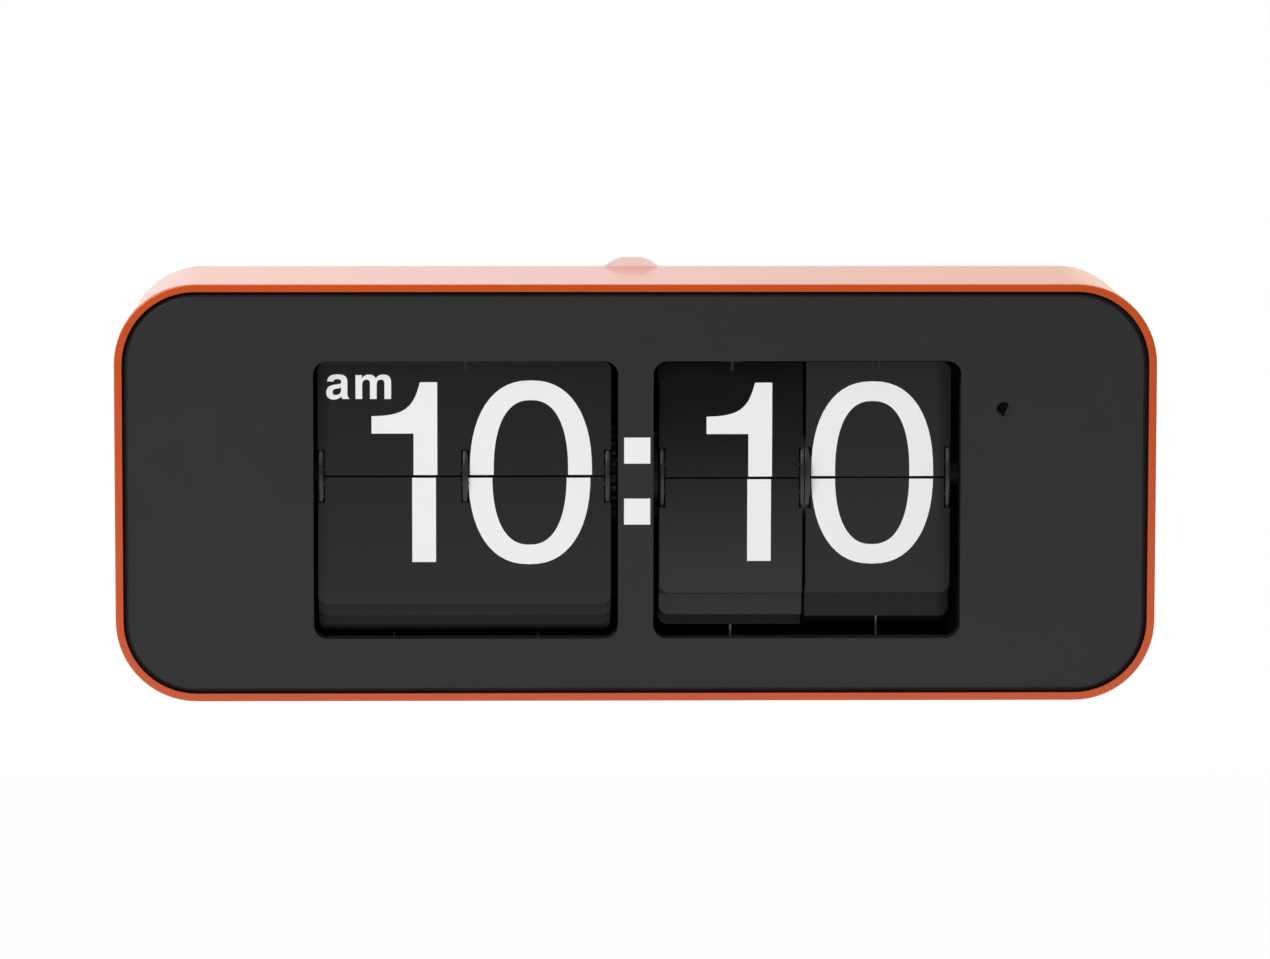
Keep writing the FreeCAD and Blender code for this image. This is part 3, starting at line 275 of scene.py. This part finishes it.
def wire_painted_bright_above(name, colour):
    """Tinned wire, painted bright near the top and dark below, as painted light and shade."""
    finish = Finish(name)
    decimetres = finish.axis("Z") * 10.0
    # Painted highlight at the top and painted shade below, by height.
    rubbed_and_painted_light = finish.steps(decimetres, (0.213, 0.05), (0.232, 1.0))
    scratched = finish.noise(900.0, 3.0, (1, 1, 12))
    finish.surface(Base_Color=finish.mix(rubbed_and_painted_light, tinted(colour, 0.2), tinted(colour, 1.1)),
                   Metallic=0.15, Roughness=0.45 + (scratched - 0.5) * 0.2)
    finish.bump(scratched, 0.00002, 0.5)
    return finish.owner


def wound(name, colour):
    """Enamelled wire in even turns, seen as fine rounded ridges."""
    finish = Finish(name)
    turns = (finish.axis("Z") * 26000.0).wave()
    tone = finish.noise(300.0, 3.0)
    finish.surface(Base_Color=finish.mix(tone, tinted(colour, 0.7), colour), Metallic=0.85,
                   Roughness=0.28 + turns * 0.06)
    finish.bump(turns, 0.00006)
    return finish.owner


def wrapped(name, colour, band):
    """The cell's printed sleeve: a plain colour with a bare metal-coloured top band."""
    finish = Finish(name)
    high = finish.axis("Z") > 90.5 * MM
    tone = finish.noise(60.0, 3.0)
    base = finish.mix(tone, tinted(colour, 0.9), colour)
    finish.surface(Base_Color=finish.mix(high, base, band), Metallic=high * 0.9,
                   Roughness=0.32 + (tone - 0.5) * 0.1)
    finish.bump(finish.noise(500.0, 2.0), 0.00003, 0.4)
    return finish.owner


def circuit(name):
    """Green solder mask over copper tracks."""
    finish = Finish(name)
    across = (finish.axis("Y") * 2600.0).wave()
    along = (finish.axis("Z") * 1900.0 + finish.noise(60.0) * 5.0).wave()
    track = finish.steps(across * along, (0.30, 0.0), (0.36, 1.0))
    finish.surface(Base_Color=finish.mix(track, (0.012, 0.10, 0.035), (0.03, 0.20, 0.07)),
                   Roughness=0.28 + finish.noise(80.0) * 0.1)
    finish.bump(track, 0.00003)
    return finish.owner


FINISHES = {
    "case_orange": lacquered("case_orange"),
    # The panel's border carries a painted shadow of the rim.
    "panel_grey": moulded("panel_grey", (0.0165, 0.0165, 0.017), 0.36, rim_shadow_tone=0.1),
    "leaf_black": leaf_skin("leaf_black", 0.14, 0.0),
    "dot_white": inked("dot_white", (0.97, 0.97, 0.97)),
    "digit_white": inked("digit_white", (0.97, 0.97, 0.97)),
    "disc_grey": moulded("disc_grey", (0.02, 0.02, 0.0203), 0.31),
    "gear_white": moulded("gear_white", (0.62, 0.60, 0.54), 0.38, tone=0.06),
    "moulded_black": moulded("moulded_black", (0.013, 0.013, 0.014), 0.5),
    "spring_steel": plated("spring_steel", (0.065, 0.065, 0.068), 0.36),
    "bright_wire": plated("bright_wire", (0.88, 0.88, 0.88), 0.34),
    "zinc_steel": plated("zinc_steel", (0.55, 0.56, 0.58), 0.38),
    "screw_steel": plated("screw_steel", (0.55, 0.55, 0.57), 0.30, (1, 1, 1)),
    "iron_plate": plated("iron_plate", (0.40, 0.40, 0.42), 0.45),
    "contact_nickel": plated("contact_nickel", (0.66, 0.63, 0.57), 0.26),
    "copper_coil": wound("copper_coil", (0.62, 0.24, 0.10)),
    "cell_wrap": wrapped("cell_wrap", (0.03, 0.09, 0.26), (0.60, 0.58, 0.54)),
    "lead_red": moulded("lead_red", (0.42, 0.015, 0.012), 0.4),
    "board_green": circuit("board_green"),
}

# Nodes that differ from the rest of their slot
OWN_FINISH = {
    # The cover's ear front gets a painted highlight, nearly white.
    "back_cover": lacquered("cover_orange", (0.98, 0.98, 0.95)),
    "seconds_wheel": moulded("wheel_grey", (0.075, 0.075, 0.077), 0.45),
    # The tens stay wire carries a painted highlight above and painted shade below.
    "tens_stay_wire": wire_painted_bright_above("pale_wire", (0.9, 0.9, 0.9)),
}

# Each drum's leaves: their roughness, their ends, the lean and bends of the upper ones, and the lean and
# bends of each one that hangs in front
LEAVES = {
    "hour": (0.14, ((-106.0, -1, -0.002),), (0.003,),
             ((0.003,), (0.003, (37.6, 0.006)), (-0.012, (32.4, -0.004)), (-0.02, (28.2, -0.012)),
              (-0.02,))),
    "tens": (0.05, (), (0.0,), ((0.0,), (-0.009, (36.0, -0.003)), (-0.02, (28.0, -0.013)))),
    "units": (0.16, ((104.0, 1, -0.0047),), (0.009,), ((0.009,), (-0.009,))),
}
for drum, (roughness, ends, upper, hanging) in LEAVES.items():
    for place, (lean, *bends) in enumerate((upper,) + hanging):
        skin = leaf_skin("%s_leaf_%d" % (drum, place), roughness, lean, bends, ends)
        same = ["%s_low_leaf_%d" % (drum, place)] if place else [drum + "_flip_leaf", drum + "_leaves"]
        OWN_FINISH.update((node, skin) for node in same)
# Painted shade: the units drum's leaves behind are painted near black, as they hang in shadow.
OWN_FINISH["units_leaves"] = leaf_skin("units_back_leaves_painted_shade", 0.5, -0.03, colour=(0.001, 0.001, 0.001))


# Meshes

def piece(name, shape, body, finish):
    """A new piece from a bmesh, riding on a body."""
    data = bpy.data.meshes.new(name)
    shape.to_mesh(data)
    shape.free()
    made = bpy.data.objects.new(name, data)
    bpy.context.scene.collection.objects.link(made)
    data.materials.append(FINISHES[finish])
    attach(made, body)


def soften(thing, width):
    """Merges a solid's doubled corners, then rounds its edges by a width."""
    weld = thing.modifiers.new("weld", "WELD")
    weld.merge_threshold = 0.000005
    bevel = thing.modifiers.new("edges", "BEVEL")
    bevel.width, bevel.segments, bevel.limit_method = width * MM, 2, "ANGLE"
    bevel.angle_limit = math.radians(22.0)
    bevel.harden_normals = True


SLOT_OF = {row["node"]: row["material_slot"] for row in frame["record"]["subparts"]}
for name, thing in nodes.items():
    thing.data.materials.clear()
    thing.data.materials.append(OWN_FINISH.get(name, FINISHES[SLOT_OF[name]]))


# Printed numerals

# Points on a curve and on an oval
CURVE_POINTS, OVAL_POINTS = 10, 56


def curve(start, first, second, end):
    """Points along a cubic curve, without its start."""
    points = []
    for step in range(1, CURVE_POINTS + 1):
        t = step / CURVE_POINTS
        parts = ((1 - t) ** 3, 3 * t * (1 - t) ** 2, 3 * t * t * (1 - t), t ** 3)
        points.append(tuple(sum(w * p[i] for w, p in zip(parts, (start, first, second, end)))
                            for i in (0, 1)))
    return points


def traced(*path):
    """An outline from points, with three-point entries as curves."""
    outline = [path[0]]
    for entry in path[1:]:
        if isinstance(entry[0], tuple):
            outline += curve(outline[-1], *entry)
        else:
            outline.append(entry)
    return outline[:-1] if math.dist(outline[0], outline[-1]) < 1e-6 else outline


def oval(x, z, half_width, half_height, power=2.25):
    """A closed rounded outline about a middle. The greater its power, the squarer it is."""
    points = []
    for step in range(OVAL_POINTS):
        c, s = (f(2 * math.pi * step / OVAL_POINTS) for f in (math.cos, math.sin))
        points.append((x + half_width * math.copysign(abs(c) ** (2 / power), c),
                       z + half_height * math.copysign(abs(s) ** (2 / power), s)))
    return points


def turned_over(outlines):
    """The same outlines the other way up."""
    return [[(-x, NUMERAL_HEIGHT - z) for x, z in outline] for outline in outlines]


# Each numeral's outlines: x from the middle of its cell, z from its foot
NUMERAL_HEIGHT = 62.7
GLYPHS = {
    "0": [oval(0, 31.1, 21.15, 31.9, 2.32), oval(0, 31.08, 12.9, 25.08, 2.4)],
    "1": [traced((5.8, 0), (14.0, 0), (14.0, 62.4), (8.05, 62.4),
                 ((5.85, 53.4), (2.75, 50.7), (-8.7, 50.6)), (-8.7, 44.55), (5.8, 44.55))],
    "2": [traced((-20.2, 0), (20.2, 0), (20.2, 7.2), (-9.6, 7.2),
                 ((-6.8, 13.6), (-0.8, 18.0), (6.4, 23.6)), ((15.6, 30.6), (20.6, 35.6), (20.6, 45.2)),
                 ((20.6, 56.6), (12.6, 63.5), (0.4, 63.5)), ((-12.4, 63.5), (-19.8, 55.0), (-19.6, 42.6)),
                 (-11.4, 42.6), ((-11.4, 51.4), (-7.2, 56.4), (0.2, 56.4)),
                 ((7.6, 56.4), (12.2, 51.8), (12.2, 44.9)), ((12.2, 38.8), (8.4, 34.8), (-0.4, 28.2)),
                 ((-12.2, 19.4), (-20.0, 13.2), (-20.2, 0)))],
    "3": [traced((-20.4, 17.6), (-12.2, 17.6), ((-11.8, 10.4), (-7.2, 6.3), (0, 6.3)),
                 ((7.8, 6.3), (12.8, 10.8), (12.8, 17.8)), ((12.8, 25.2), (7.6, 29.2), (-4.4, 29.2)),
                 (-4.4, 35.8), ((5.6, 35.8), (10.8, 39.6), (10.8, 46.4)),
                 ((10.8, 52.6), (6.6, 56.4), (0, 56.4)), ((-7.0, 56.4), (-11.0, 52.4), (-11.2, 45.6)),
                 (-19.2, 45.6), ((-18.8, 56.8), (-11.4, 63.5), (0.2, 63.5)),
                 ((11.8, 63.5), (19.2, 56.6), (19.2, 46.4)), ((19.2, 40.2), (16.2, 35.6), (11.0, 33.2)),
                 ((17.6, 30.8), (21.2, 25.2), (21.2, 17.8)), ((21.2, 6.8), (12.8, -0.8), (0, -0.8)),
                 ((-12.4, -0.8), (-20.2, 6.2), (-20.4, 17.6)))],
    "4": [[(3.2, 0), (11.4, 0), (11.4, 14.4), (20.8, 14.4), (20.8, 21.6), (11.4, 21.6), (11.4, 62.7),
           (2.6, 62.7), (-21.4, 22.4), (-21.4, 14.4), (3.2, 14.4)],
          [(3.2, 21.6), (3.2, 50.6), (-14.2, 21.6)]],
    "5": [traced((-15.6, 62.7), (17.6, 62.7), (17.6, 55.2), (-9.4, 55.2), (-11.6, 39.0),
                 ((-8.0, 41.8), (-3.8, 43.2), (1.4, 43.2)), ((13.2, 43.2), (21.2, 34.6), (21.2, 22.0)),
                 ((21.2, 8.4), (12.6, -0.8), (-0.4, -0.8)), ((-12.2, -0.8), (-20.2, 6.2), (-20.8, 17.0)),
                 (-12.4, 17.0), ((-11.6, 10.4), (-7.0, 6.3), (-0.2, 6.3)),
                 ((7.8, 6.3), (12.8, 12.4), (12.8, 21.4)), ((12.8, 30.2), (7.8, 36.0), (-0.4, 36.0)),
                 ((-5.8, 36.0), (-9.8, 34.0), (-12.2, 30.0)), (-19.8, 31.0), (-15.6, 62.7))],
    "6": [traced((19.6, 47.6), ((18.6, 57.4), (11.8, 63.5), (1.2, 63.5)),
                 ((-13.2, 63.5), (-21.2, 51.8), (-21.2, 30.0)), ((-21.2, 10.4), (-13.8, -0.8), (0.6, -0.8)),
                 ((12.8, -0.8), (21.2, 7.6), (21.2, 20.0)), ((21.2, 32.0), (13.2, 40.2), (2.0, 40.2)),
                 ((-4.4, 40.2), (-9.4, 37.6), (-12.6, 33.0)), ((-12.4, 47.8), (-7.6, 56.4), (1.0, 56.4)),
                 ((6.6, 56.4), (10.4, 53.2), (11.4, 47.6)), (19.6, 47.6)),
          oval(0.4, 19.7, 12.6, 13.4)],
    "7": [traced((-20.2, 62.7), (20.4, 62.7), (20.4, 56.0), ((9.0, 43.0), (1.0, 24.0), (-1.2, 0)),
                 (-10.2, 0), ((-7.8, 23.0), (0.6, 41.4), (11.2, 55.2)), (-20.2, 55.2))],
    "8": [traced((0, -0.8), ((13.5, -0.8), (21.2, 6.5), (21.2, 17.4)),
                 ((21.2, 24.6), (17.6, 30.2), (11.6, 32.8)), ((16.6, 35.6), (19.2, 40.2), (19.2, 46.2)),
                 ((19.2, 56.6), (11.6, 63.5), (0, 63.5)), ((-11.6, 63.5), (-19.2, 56.6), (-19.2, 46.2)),
                 ((-19.2, 40.2), (-16.6, 35.6), (-11.6, 32.8)),
                 ((-17.6, 30.2), (-21.2, 24.6), (-21.2, 17.4)),
                 ((-21.2, 6.5), (-13.5, -0.8), (0, -0.8))),
          oval(0, 46.4, 11.0, 10.2), oval(0, 17.6, 12.8, 11.4)],
}
GLYPHS["9"] = turned_over(GLYPHS["6"])
# Where the numerals' feet are, and the middle of each numeral's cell
FOOT_Z = 47.95
CELLS = {"hour": (-82.7, -36.3), "tens": (33.2,), "units": (82.0,)}
# How far the prints on the upper and on the lower leaves are off, across and up
OFF_PRINT = {"hour": ((0.0, 0.0), (-0.5, -0.2)), "tens": ((0.0, 0.4), (-0.3, 0.65)),
             "units": ((0.0, 0.1), (0.0, 0.3))}


def filled(outlines, y0, y1):
    """Closed outlines filled with their holes left open, and made into a thin solid."""
    shape = bmesh.new()
    edges = []
    for outline in outlines:
        corners = [shape.verts.new((x * MM, y0 * MM, z * MM)) for x, z in outline]
        edges += [shape.edges.new(pair) for pair in zip(corners, corners[1:] + corners[:1])]
    faces = bmesh.ops.triangle_fill(shape, use_beauty=True, use_dissolve=True, edges=edges)
    flat = [f for f in faces["geom"] if isinstance(f, bmesh.types.BMFace)]
    grown = bmesh.ops.extrude_face_region(shape, geom=flat)
    moved = [v for v in grown["geom"] if isinstance(v, bmesh.types.BMVert)]
    bmesh.ops.translate(shape, vec=(0, (y1 - y0) * MM, 0), verts=moved)
    bmesh.ops.recalc_face_normals(shape, faces=shape.faces)
    return shape


def cut_half(shape, keep_upper):
    """Keeps the half above or below the line between the leaves."""
    side = 1 if keep_upper else -1
    bmesh.ops.bisect_plane(shape, geom=shape.verts[:] + shape.edges[:] + shape.faces[:], dist=1e-7,
                           plane_co=(0, 0, (AXLE_Z + side * PRINT_GAP) * MM), plane_no=(0, 0, side),
                           clear_inner=True)
    bmesh.ops.holes_fill(shape, edges=[e for e in shape.edges if e.is_boundary], sides=0)


def numeral_outlines(drum, text, shift):
    """A numeral's outlines on its drum, moved by a shift across and up."""
    cells = CELLS[drum][-len(text):]
    return [[(x + cell + shift[0], z + FOOT_Z + shift[1]) for x, z in outline]
            for letter, cell in zip(text, cells) for outline in GLYPHS[letter]]


class Drum:
    """One drum of leaves, as the solids have it. Lead is how far it rests past the middle of a step."""

    def __init__(self, name, count, loose, lead, numerals):
        self.name, self.count, self.loose, self.lead, self.numerals = name, count, loose, lead, numerals
        self.step = 360.0 / count
        half = math.radians(self.step / 2)
        self.plane, self.pin_height = HINGE_R * math.cos(half), HINGE_R * math.sin(half)
        self.front_y = AXLE_Y - self.plane - LEAF_T / 2

    def body(self, number):
        """The body that leaf number belongs to, counted from the one that stands in front."""
        if number == 0:
            return self.name + "_flip_leaf"
        if number >= self.count - self.loose:
            return "%s_low_leaf_%d" % (self.name, self.count - number)
        return self.name + "_drum"

    def place(self, number):
        """Carries what is drawn on the standing leaf to leaf number."""
        angle = math.radians(self.step * (number + 0.5) - self.lead)
        pin = Vector((0, (AXLE_Y - self.plane) * MM, (AXLE_Z + self.pin_height) * MM))
        spot = Vector((0, (AXLE_Y - HINGE_R * math.cos(angle)) * MM,
                       (AXLE_Z + HINGE_R * math.sin(angle)) * MM))
        turn = Matrix.Rotation(-math.radians(min(number * self.step, 180.0)), 4, "X")
        return Matrix.Translation(spot) @ turn @ Matrix.Translation(-pin)

    def printed_faces(self, number):
        """The upper half of a numeral on a leaf's front, and the lower half of the next on its back."""
        front, back = self.front_y, self.front_y + LEAF_T
        shown, following = (self.numerals[(number + k) % self.count] for k in (0, 1))
        off_above, off_below = OFF_PRINT[self.name]
        upper = filled(numeral_outlines(self.name, shown[0], off_above) + shown[1],
                       front - PRINT_T, front + PRINT_SUNK)
        cut_half(upper, True)
        lower = filled(numeral_outlines(self.name, following[0], off_below),
                       back - PRINT_SUNK, back + PRINT_T)
        cut_half(lower, False)
        mirrored = Matrix.Translation((0, 0, 2 * AXLE_Z * MM)) @ Matrix.Scale(-1, 4, (0, 0, 1))
        bmesh.ops.transform(lower, verts=lower.verts, space=Matrix(), matrix=mirrored)
        bmesh.ops.reverse_faces(lower, faces=lower.faces)
        return upper, lower


# The small letters' outlines: x from the letter's left side, z from its foot
LETTERS = {
    "a": [traced((0.3, 6.6), ((0.5, 8.6), (1.7, 9.3), (4.0, 9.3)), ((6.4, 9.3), (7.3, 8.3), (7.3, 6.5)),
                 (7.3, 2.0), ((7.3, 0.9), (7.5, 0.6), (8.0, 0.3)), (8.0, 0), (5.6, 0),
                 ((5.4, 0.3), (5.3, 0.6), (5.25, 1.0)), ((4.5, 0.2), (3.7, -0.2), (2.6, -0.2)),
                 ((0.9, -0.2), (0, 0.8), (0, 2.4)), ((0, 4.4), (1.1, 5.1), (3.0, 5.4)),
                 ((4.6, 5.6), (5.2, 5.7), (5.2, 6.4)), ((5.2, 7.1), (4.8, 7.5), (3.9, 7.5)),
                 ((3.0, 7.5), (2.6, 7.2), (2.5, 6.6)), (0.3, 6.6)),
          traced((5.1, 4.4), ((4.7, 4.1), (4.2, 4.0), (3.6, 3.9)), ((2.6, 3.7), (2.2, 3.4), (2.2, 2.6)),
                 ((2.2, 1.8), (2.6, 1.5), (3.3, 1.5)), ((4.6, 1.5), (5.1, 2.4), (5.1, 3.4)), (5.1, 4.4))],
    "m": [traced((0, 0), (2.3, 0), (2.3, 5.2), ((2.3, 6.7), (2.9, 7.3), (3.9, 7.3)),
                 ((4.8, 7.3), (5.0, 6.7), (5.0, 5.6)), (5.0, 0), (7.3, 0), (7.3, 5.2),
                 ((7.3, 6.6), (7.8, 7.3), (8.8, 7.3)), ((9.8, 7.3), (10.0, 6.6), (10.0, 5.6)),
                 (10.0, 0), (12.3, 0), (12.3, 6.0), ((12.3, 8.2), (11.4, 9.2), (9.7, 9.2)),
                 ((8.5, 9.2), (7.6, 8.7), (7.0, 7.8)), ((6.6, 8.7), (5.8, 9.2), (4.7, 9.2)),
                 ((3.6, 9.2), (2.8, 8.7), (2.2, 7.8)), (2.2, 9.0), (0, 9.0))],
    "p": [traced((0, -3.2), (2.3, -3.2), (2.3, 1.0), ((2.9, 0.2), (3.7, -0.2), (4.7, -0.2)),
                 ((7.0, -0.2), (8.2, 1.7), (8.2, 4.6)), ((8.2, 7.5), (7.0, 9.3), (4.8, 9.3)),
                 ((3.7, 9.3), (2.8, 8.8), (2.2, 7.9)), (2.2, 9.0), (0, 9.0)),
          oval(4.05, 4.55, 1.8, 2.85)],
}
# Where the two small letters start across, their feet, and their height against the outlines'
LETTERS_X, LETTERS_Z, LETTERS_HEIGHT = (-107.0, -96.9), 104.54, 0.922


def hour_text(hour):
    """The hour's numeral, with am or pm above its left end."""
    small = [[(x + start, LETTERS_Z + LETTERS_HEIGHT * z) for x, z in outline]
             for letter, start in zip("am" if hour < 12 else "pm", LETTERS_X)
             for outline in LETTERS[letter]]
    return str((hour + 11) % 12 + 1), small


def joined(shapes):
    """Several shapes as one."""
    whole = bmesh.new()
    for shape in shapes:
        part = bpy.data.meshes.new("part")
        shape.to_mesh(part)
        shape.free()
        whole.from_mesh(part)
        bpy.data.meshes.remove(part)
    return whole


DRUMS = [Drum("hour", 24, 5, -0.7, [hour_text((10 + k) % 24) for k in range(24)]),
         Drum("tens", 12, 3, 1.5, [(str((1 + k) % 6), []) for k in range(12)]),
         Drum("units", 10, 2, 1.1, [(str(k % 10), []) for k in range(10)])]
for drum in DRUMS:
    printed = {}
    for number in range(drum.count):
        for shape in drum.printed_faces(number):
            bmesh.ops.transform(shape, verts=shape.verts, space=Matrix(), matrix=drum.place(number))
            printed.setdefault(drum.body(number), []).append(shape)
    for body, shapes in printed.items():
        piece(body + "_numerals", joined(shapes), body, "digit_white")


# Seconds marks

# The seconds wheel: its axle, its rim's radius and sides, and how far a mark stands out of the rim
WHEEL_Y, WHEEL_Z, WHEEL_R, WHEEL_X, MARK_T = -19.6, 99.3, 16.6, (124.3, 129.7), 0.03
# A kite on the rim, by the (height, x) corners of its left and right sides, and how many there are
KITE_LEFT = ((98.4, 127.28), (101.7, 124.45), (104.15, 127.31))
KITE_RIGHT = ((98.4, 127.28), (102.74, 128.88), (104.15, 127.31))
KITES, KITE_SLICES = 12, 12


def between(line, z):
    """The x of a bent line at a height, from its (height, x) corners."""
    for (z0, x0), (z1, x1) in zip(line, line[1:]):
        if z <= z1 + 1e-9:
            return x0 + (x1 - x0) * (z - z0) / (z1 - z0)
    return line[-1][1]


def wheel_mark(number):
    """A dark kite on the rim of the seconds wheel, bent round it in thin slices."""
    shape = bmesh.new()
    rings = []
    foot, head = KITE_LEFT[0][0], KITE_LEFT[-1][0]
    inner, outer = WHEEL_R - MARK_T, WHEEL_R + MARK_T
    for step in range(KITE_SLICES + 1):
        z = foot + (head - foot) * step / KITE_SLICES
        turn = math.asin((z - WHEEL_Z) / WHEEL_R) + math.radians(360.0 / KITES * number)
        left, right = (min(max(between(line, z), WHEEL_X[0]), WHEEL_X[1])
                       for line in (KITE_LEFT, KITE_RIGHT))
        rings.append([shape.verts.new((x * MM, (WHEEL_Y - r * math.cos(turn)) * MM,
                                       (WHEEL_Z + r * math.sin(turn)) * MM))
                      for x, r in ((left, inner), (right, inner), (right, outer), (left, outer))])
    for low, high in zip(rings, rings[1:]):
        for k in range(4):
            shape.faces.new((low[k], low[(k + 1) % 4], high[(k + 1) % 4], high[k]))
    shape.faces.new(rings[0])
    shape.faces.new(rings[-1][::-1])
    bmesh.ops.remove_doubles(shape, verts=shape.verts, dist=1e-7)
    bmesh.ops.recalc_face_normals(shape, faces=shape.faces)
    return shape


piece("seconds_marks", joined([wheel_mark(number) for number in range(KITES)]), "seconds_wheel",
      "leaf_black")


# Solids whose edges are rounded, each by its width
ROUNDED = {"front_panel": 0.22, "back_cover": 0.35, "battery_door": 0.3, "dot_inlays": 0.05}
for name, width in ROUNDED.items():
    soften(nodes[name], width)


# Camera, floor and light

# The photo's width, focal length and shift in pixels, and the camera's angles, target and distance
PHOTO_WIDTH, FOCAL, SHIFT_X, SHIFT_Y = 1270, 6327.5, 20.4, 2.1
AZIMUTH, ELEVATION, ROLL = -1.127, 6.438, 0.066
TARGET, DISTANCE = (-7.43, -40.0, 76.56), 2186.0
SENSOR = 36.0
# The floor's height and reach
FLOOR_Z, FLOOR_X, FLOOR_Y = -320.0, (-1600.0, 1600.0), (-1400.0, 1800.0)


def set_camera():
    """The photo's camera, as solved from the clock's corners and lines."""
    camera = bpy.data.objects.new("camera", bpy.data.cameras.new("camera"))
    bpy.context.scene.collection.objects.link(camera)
    azimuth, elevation, roll = (math.radians(angle) for angle in (AZIMUTH, ELEVATION, ROLL))
    back = Vector((math.sin(azimuth) * math.cos(elevation), -math.cos(azimuth) * math.cos(elevation),
                   math.sin(elevation)))
    camera.location = Vector(TARGET) * MM + back * (DISTANCE * MM)
    camera.rotation_mode = "QUATERNION"
    camera.rotation_quaternion = ((-back).to_track_quat("-Z", "Y")
                                  @ Matrix.Rotation(roll, 4, "Z").to_quaternion())
    camera.data.sensor_width = SENSOR
    camera.data.lens = FOCAL / PHOTO_WIDTH * SENSOR
    camera.data.shift_x, camera.data.shift_y = SHIFT_X / PHOTO_WIDTH, SHIFT_Y / PHOTO_WIDTH
    camera.data.clip_start, camera.data.clip_end = 0.05, 50.0
    bpy.context.scene.camera = camera


def soft_lamp(name, place, aim, size, power):
    """A wide lamp, turned from its place to its aim, all in metres."""
    data = bpy.data.lights.new(name, "AREA")
    data.shape, data.size, data.size_y, data.energy = "RECTANGLE", size[0], size[1], power
    lamp = bpy.data.objects.new(name, data)
    bpy.context.scene.collection.objects.link(lamp)
    lamp.location = place
    lamp.rotation_mode = "QUATERNION"
    lamp.rotation_quaternion = (Vector(aim) - Vector(place)).to_track_quat("-Z", "Y")


def backdrop():
    """White where the camera or a reflection meets it behind the clock, and warmer to the right there.

    In front it is dark at the clock's height, and lighter low down and high up. It lights the clock a
    little more from the left."""
    world = bpy.data.worlds.new("studio")
    bpy.context.scene.world = world
    finish = Finish("studio", world)
    shade = finish.tree.nodes["Background"]
    rays = finish.rays()
    way = finish.node("ShaderNodeTexCoord", output="Generated")
    aside, ahead, above = (finish.node("ShaderNodeSeparateXYZ", inputs={0: way}, output=letter)
                           for letter in "XYZ")
    front = finish.steps(above * 0.5 + 0.5, (0.30, 0.80), (0.4356, 0.87), (0.4384, 0.84), (0.4408, 0.63),
                         (0.4434, 0.35), (0.4477, 0.16), (0.4503, 0.075), (0.4530, 0.03), (0.66, 0.05),
                         (0.80, 0.50), (0.95, 0.70))
    back = finish.steps(aside * 0.5 + 0.5, (0.46, 1.0), (0.53, 0.84), (0.545, 0.84), (0.57, 1.0))
    behind = finish.steps(ahead * 0.5 + 0.5, (0.46, 0.0), (0.56, 1.0))
    plain = finish.steps(aside * 0.5 + 0.5, (0.0, 0.52), (1.0, 0.24))
    seen = rays["Camera"].most(rays["Transmission"])
    level = plain + (front + (back - front) * behind - plain) * rays["Glossy"]
    warm = finish.steps(aside * 0.5 + 0.5, (0.485, 0.3), (0.51, 0.15), (0.54, 1.0)) * behind
    finish.feed(shade.inputs["Color"],
                finish.mix(warm * rays["Glossy"], (1.0, 1.0, 1.0), (1.0, 0.92, 0.79)))
    finish.feed(shade.inputs["Strength"], level + (1.0 - level) * seen)


def floor():
    """A plain pale floor under the clock."""
    shape = bmesh.new()
    (left, right), (near, far) = FLOOR_X, FLOOR_Y
    shape.faces.new([shape.verts.new((x * MM, y * MM, FLOOR_Z * MM))
                     for x, y in ((left, near), (right, near), (right, far), (left, far))])
    data = bpy.data.meshes.new("floor")
    shape.to_mesh(data)
    shape.free()
    ground = bpy.data.objects.new("floor", data)
    bpy.context.scene.collection.objects.link(ground)
    finish = Finish("floor")
    finish.surface(Base_Color=(0.86, 0.86, 0.86, 1), Roughness=0.9)
    rays = finish.rays()
    seen = rays["Camera"].most(rays["Transmission"]).most(rays["Glossy"])
    white = finish.node("ShaderNodeEmission", inputs={"Color": (1, 1, 1, 1)})
    mixed = finish.node("ShaderNodeMixShader", inputs={
        0: seen * 0.97, 1: Value(finish, finish.shader.outputs[0]), 2: white})
    finish.tree.links.new(mixed.socket, finish.tree.nodes["Material Output"].inputs["Surface"])
    data.materials.append(finish.owner)


set_camera()
backdrop()
floor()
soft_lamp("key", (-1.0, -1.3, 1.25), (0, 0, 0.07), (1.2, 0.9), 21.0)
soft_lamp("fill", (1.4, -1.2, 0.9), (0, 0, 0.07), (1.2, 1.2), 1.8)
soft_lamp("top", (0.0, 0.4, 1.6), (0, 0, 0.1), (1.6, 1.2), 19.0)
bpy.context.scene.view_settings.view_transform = "Standard"
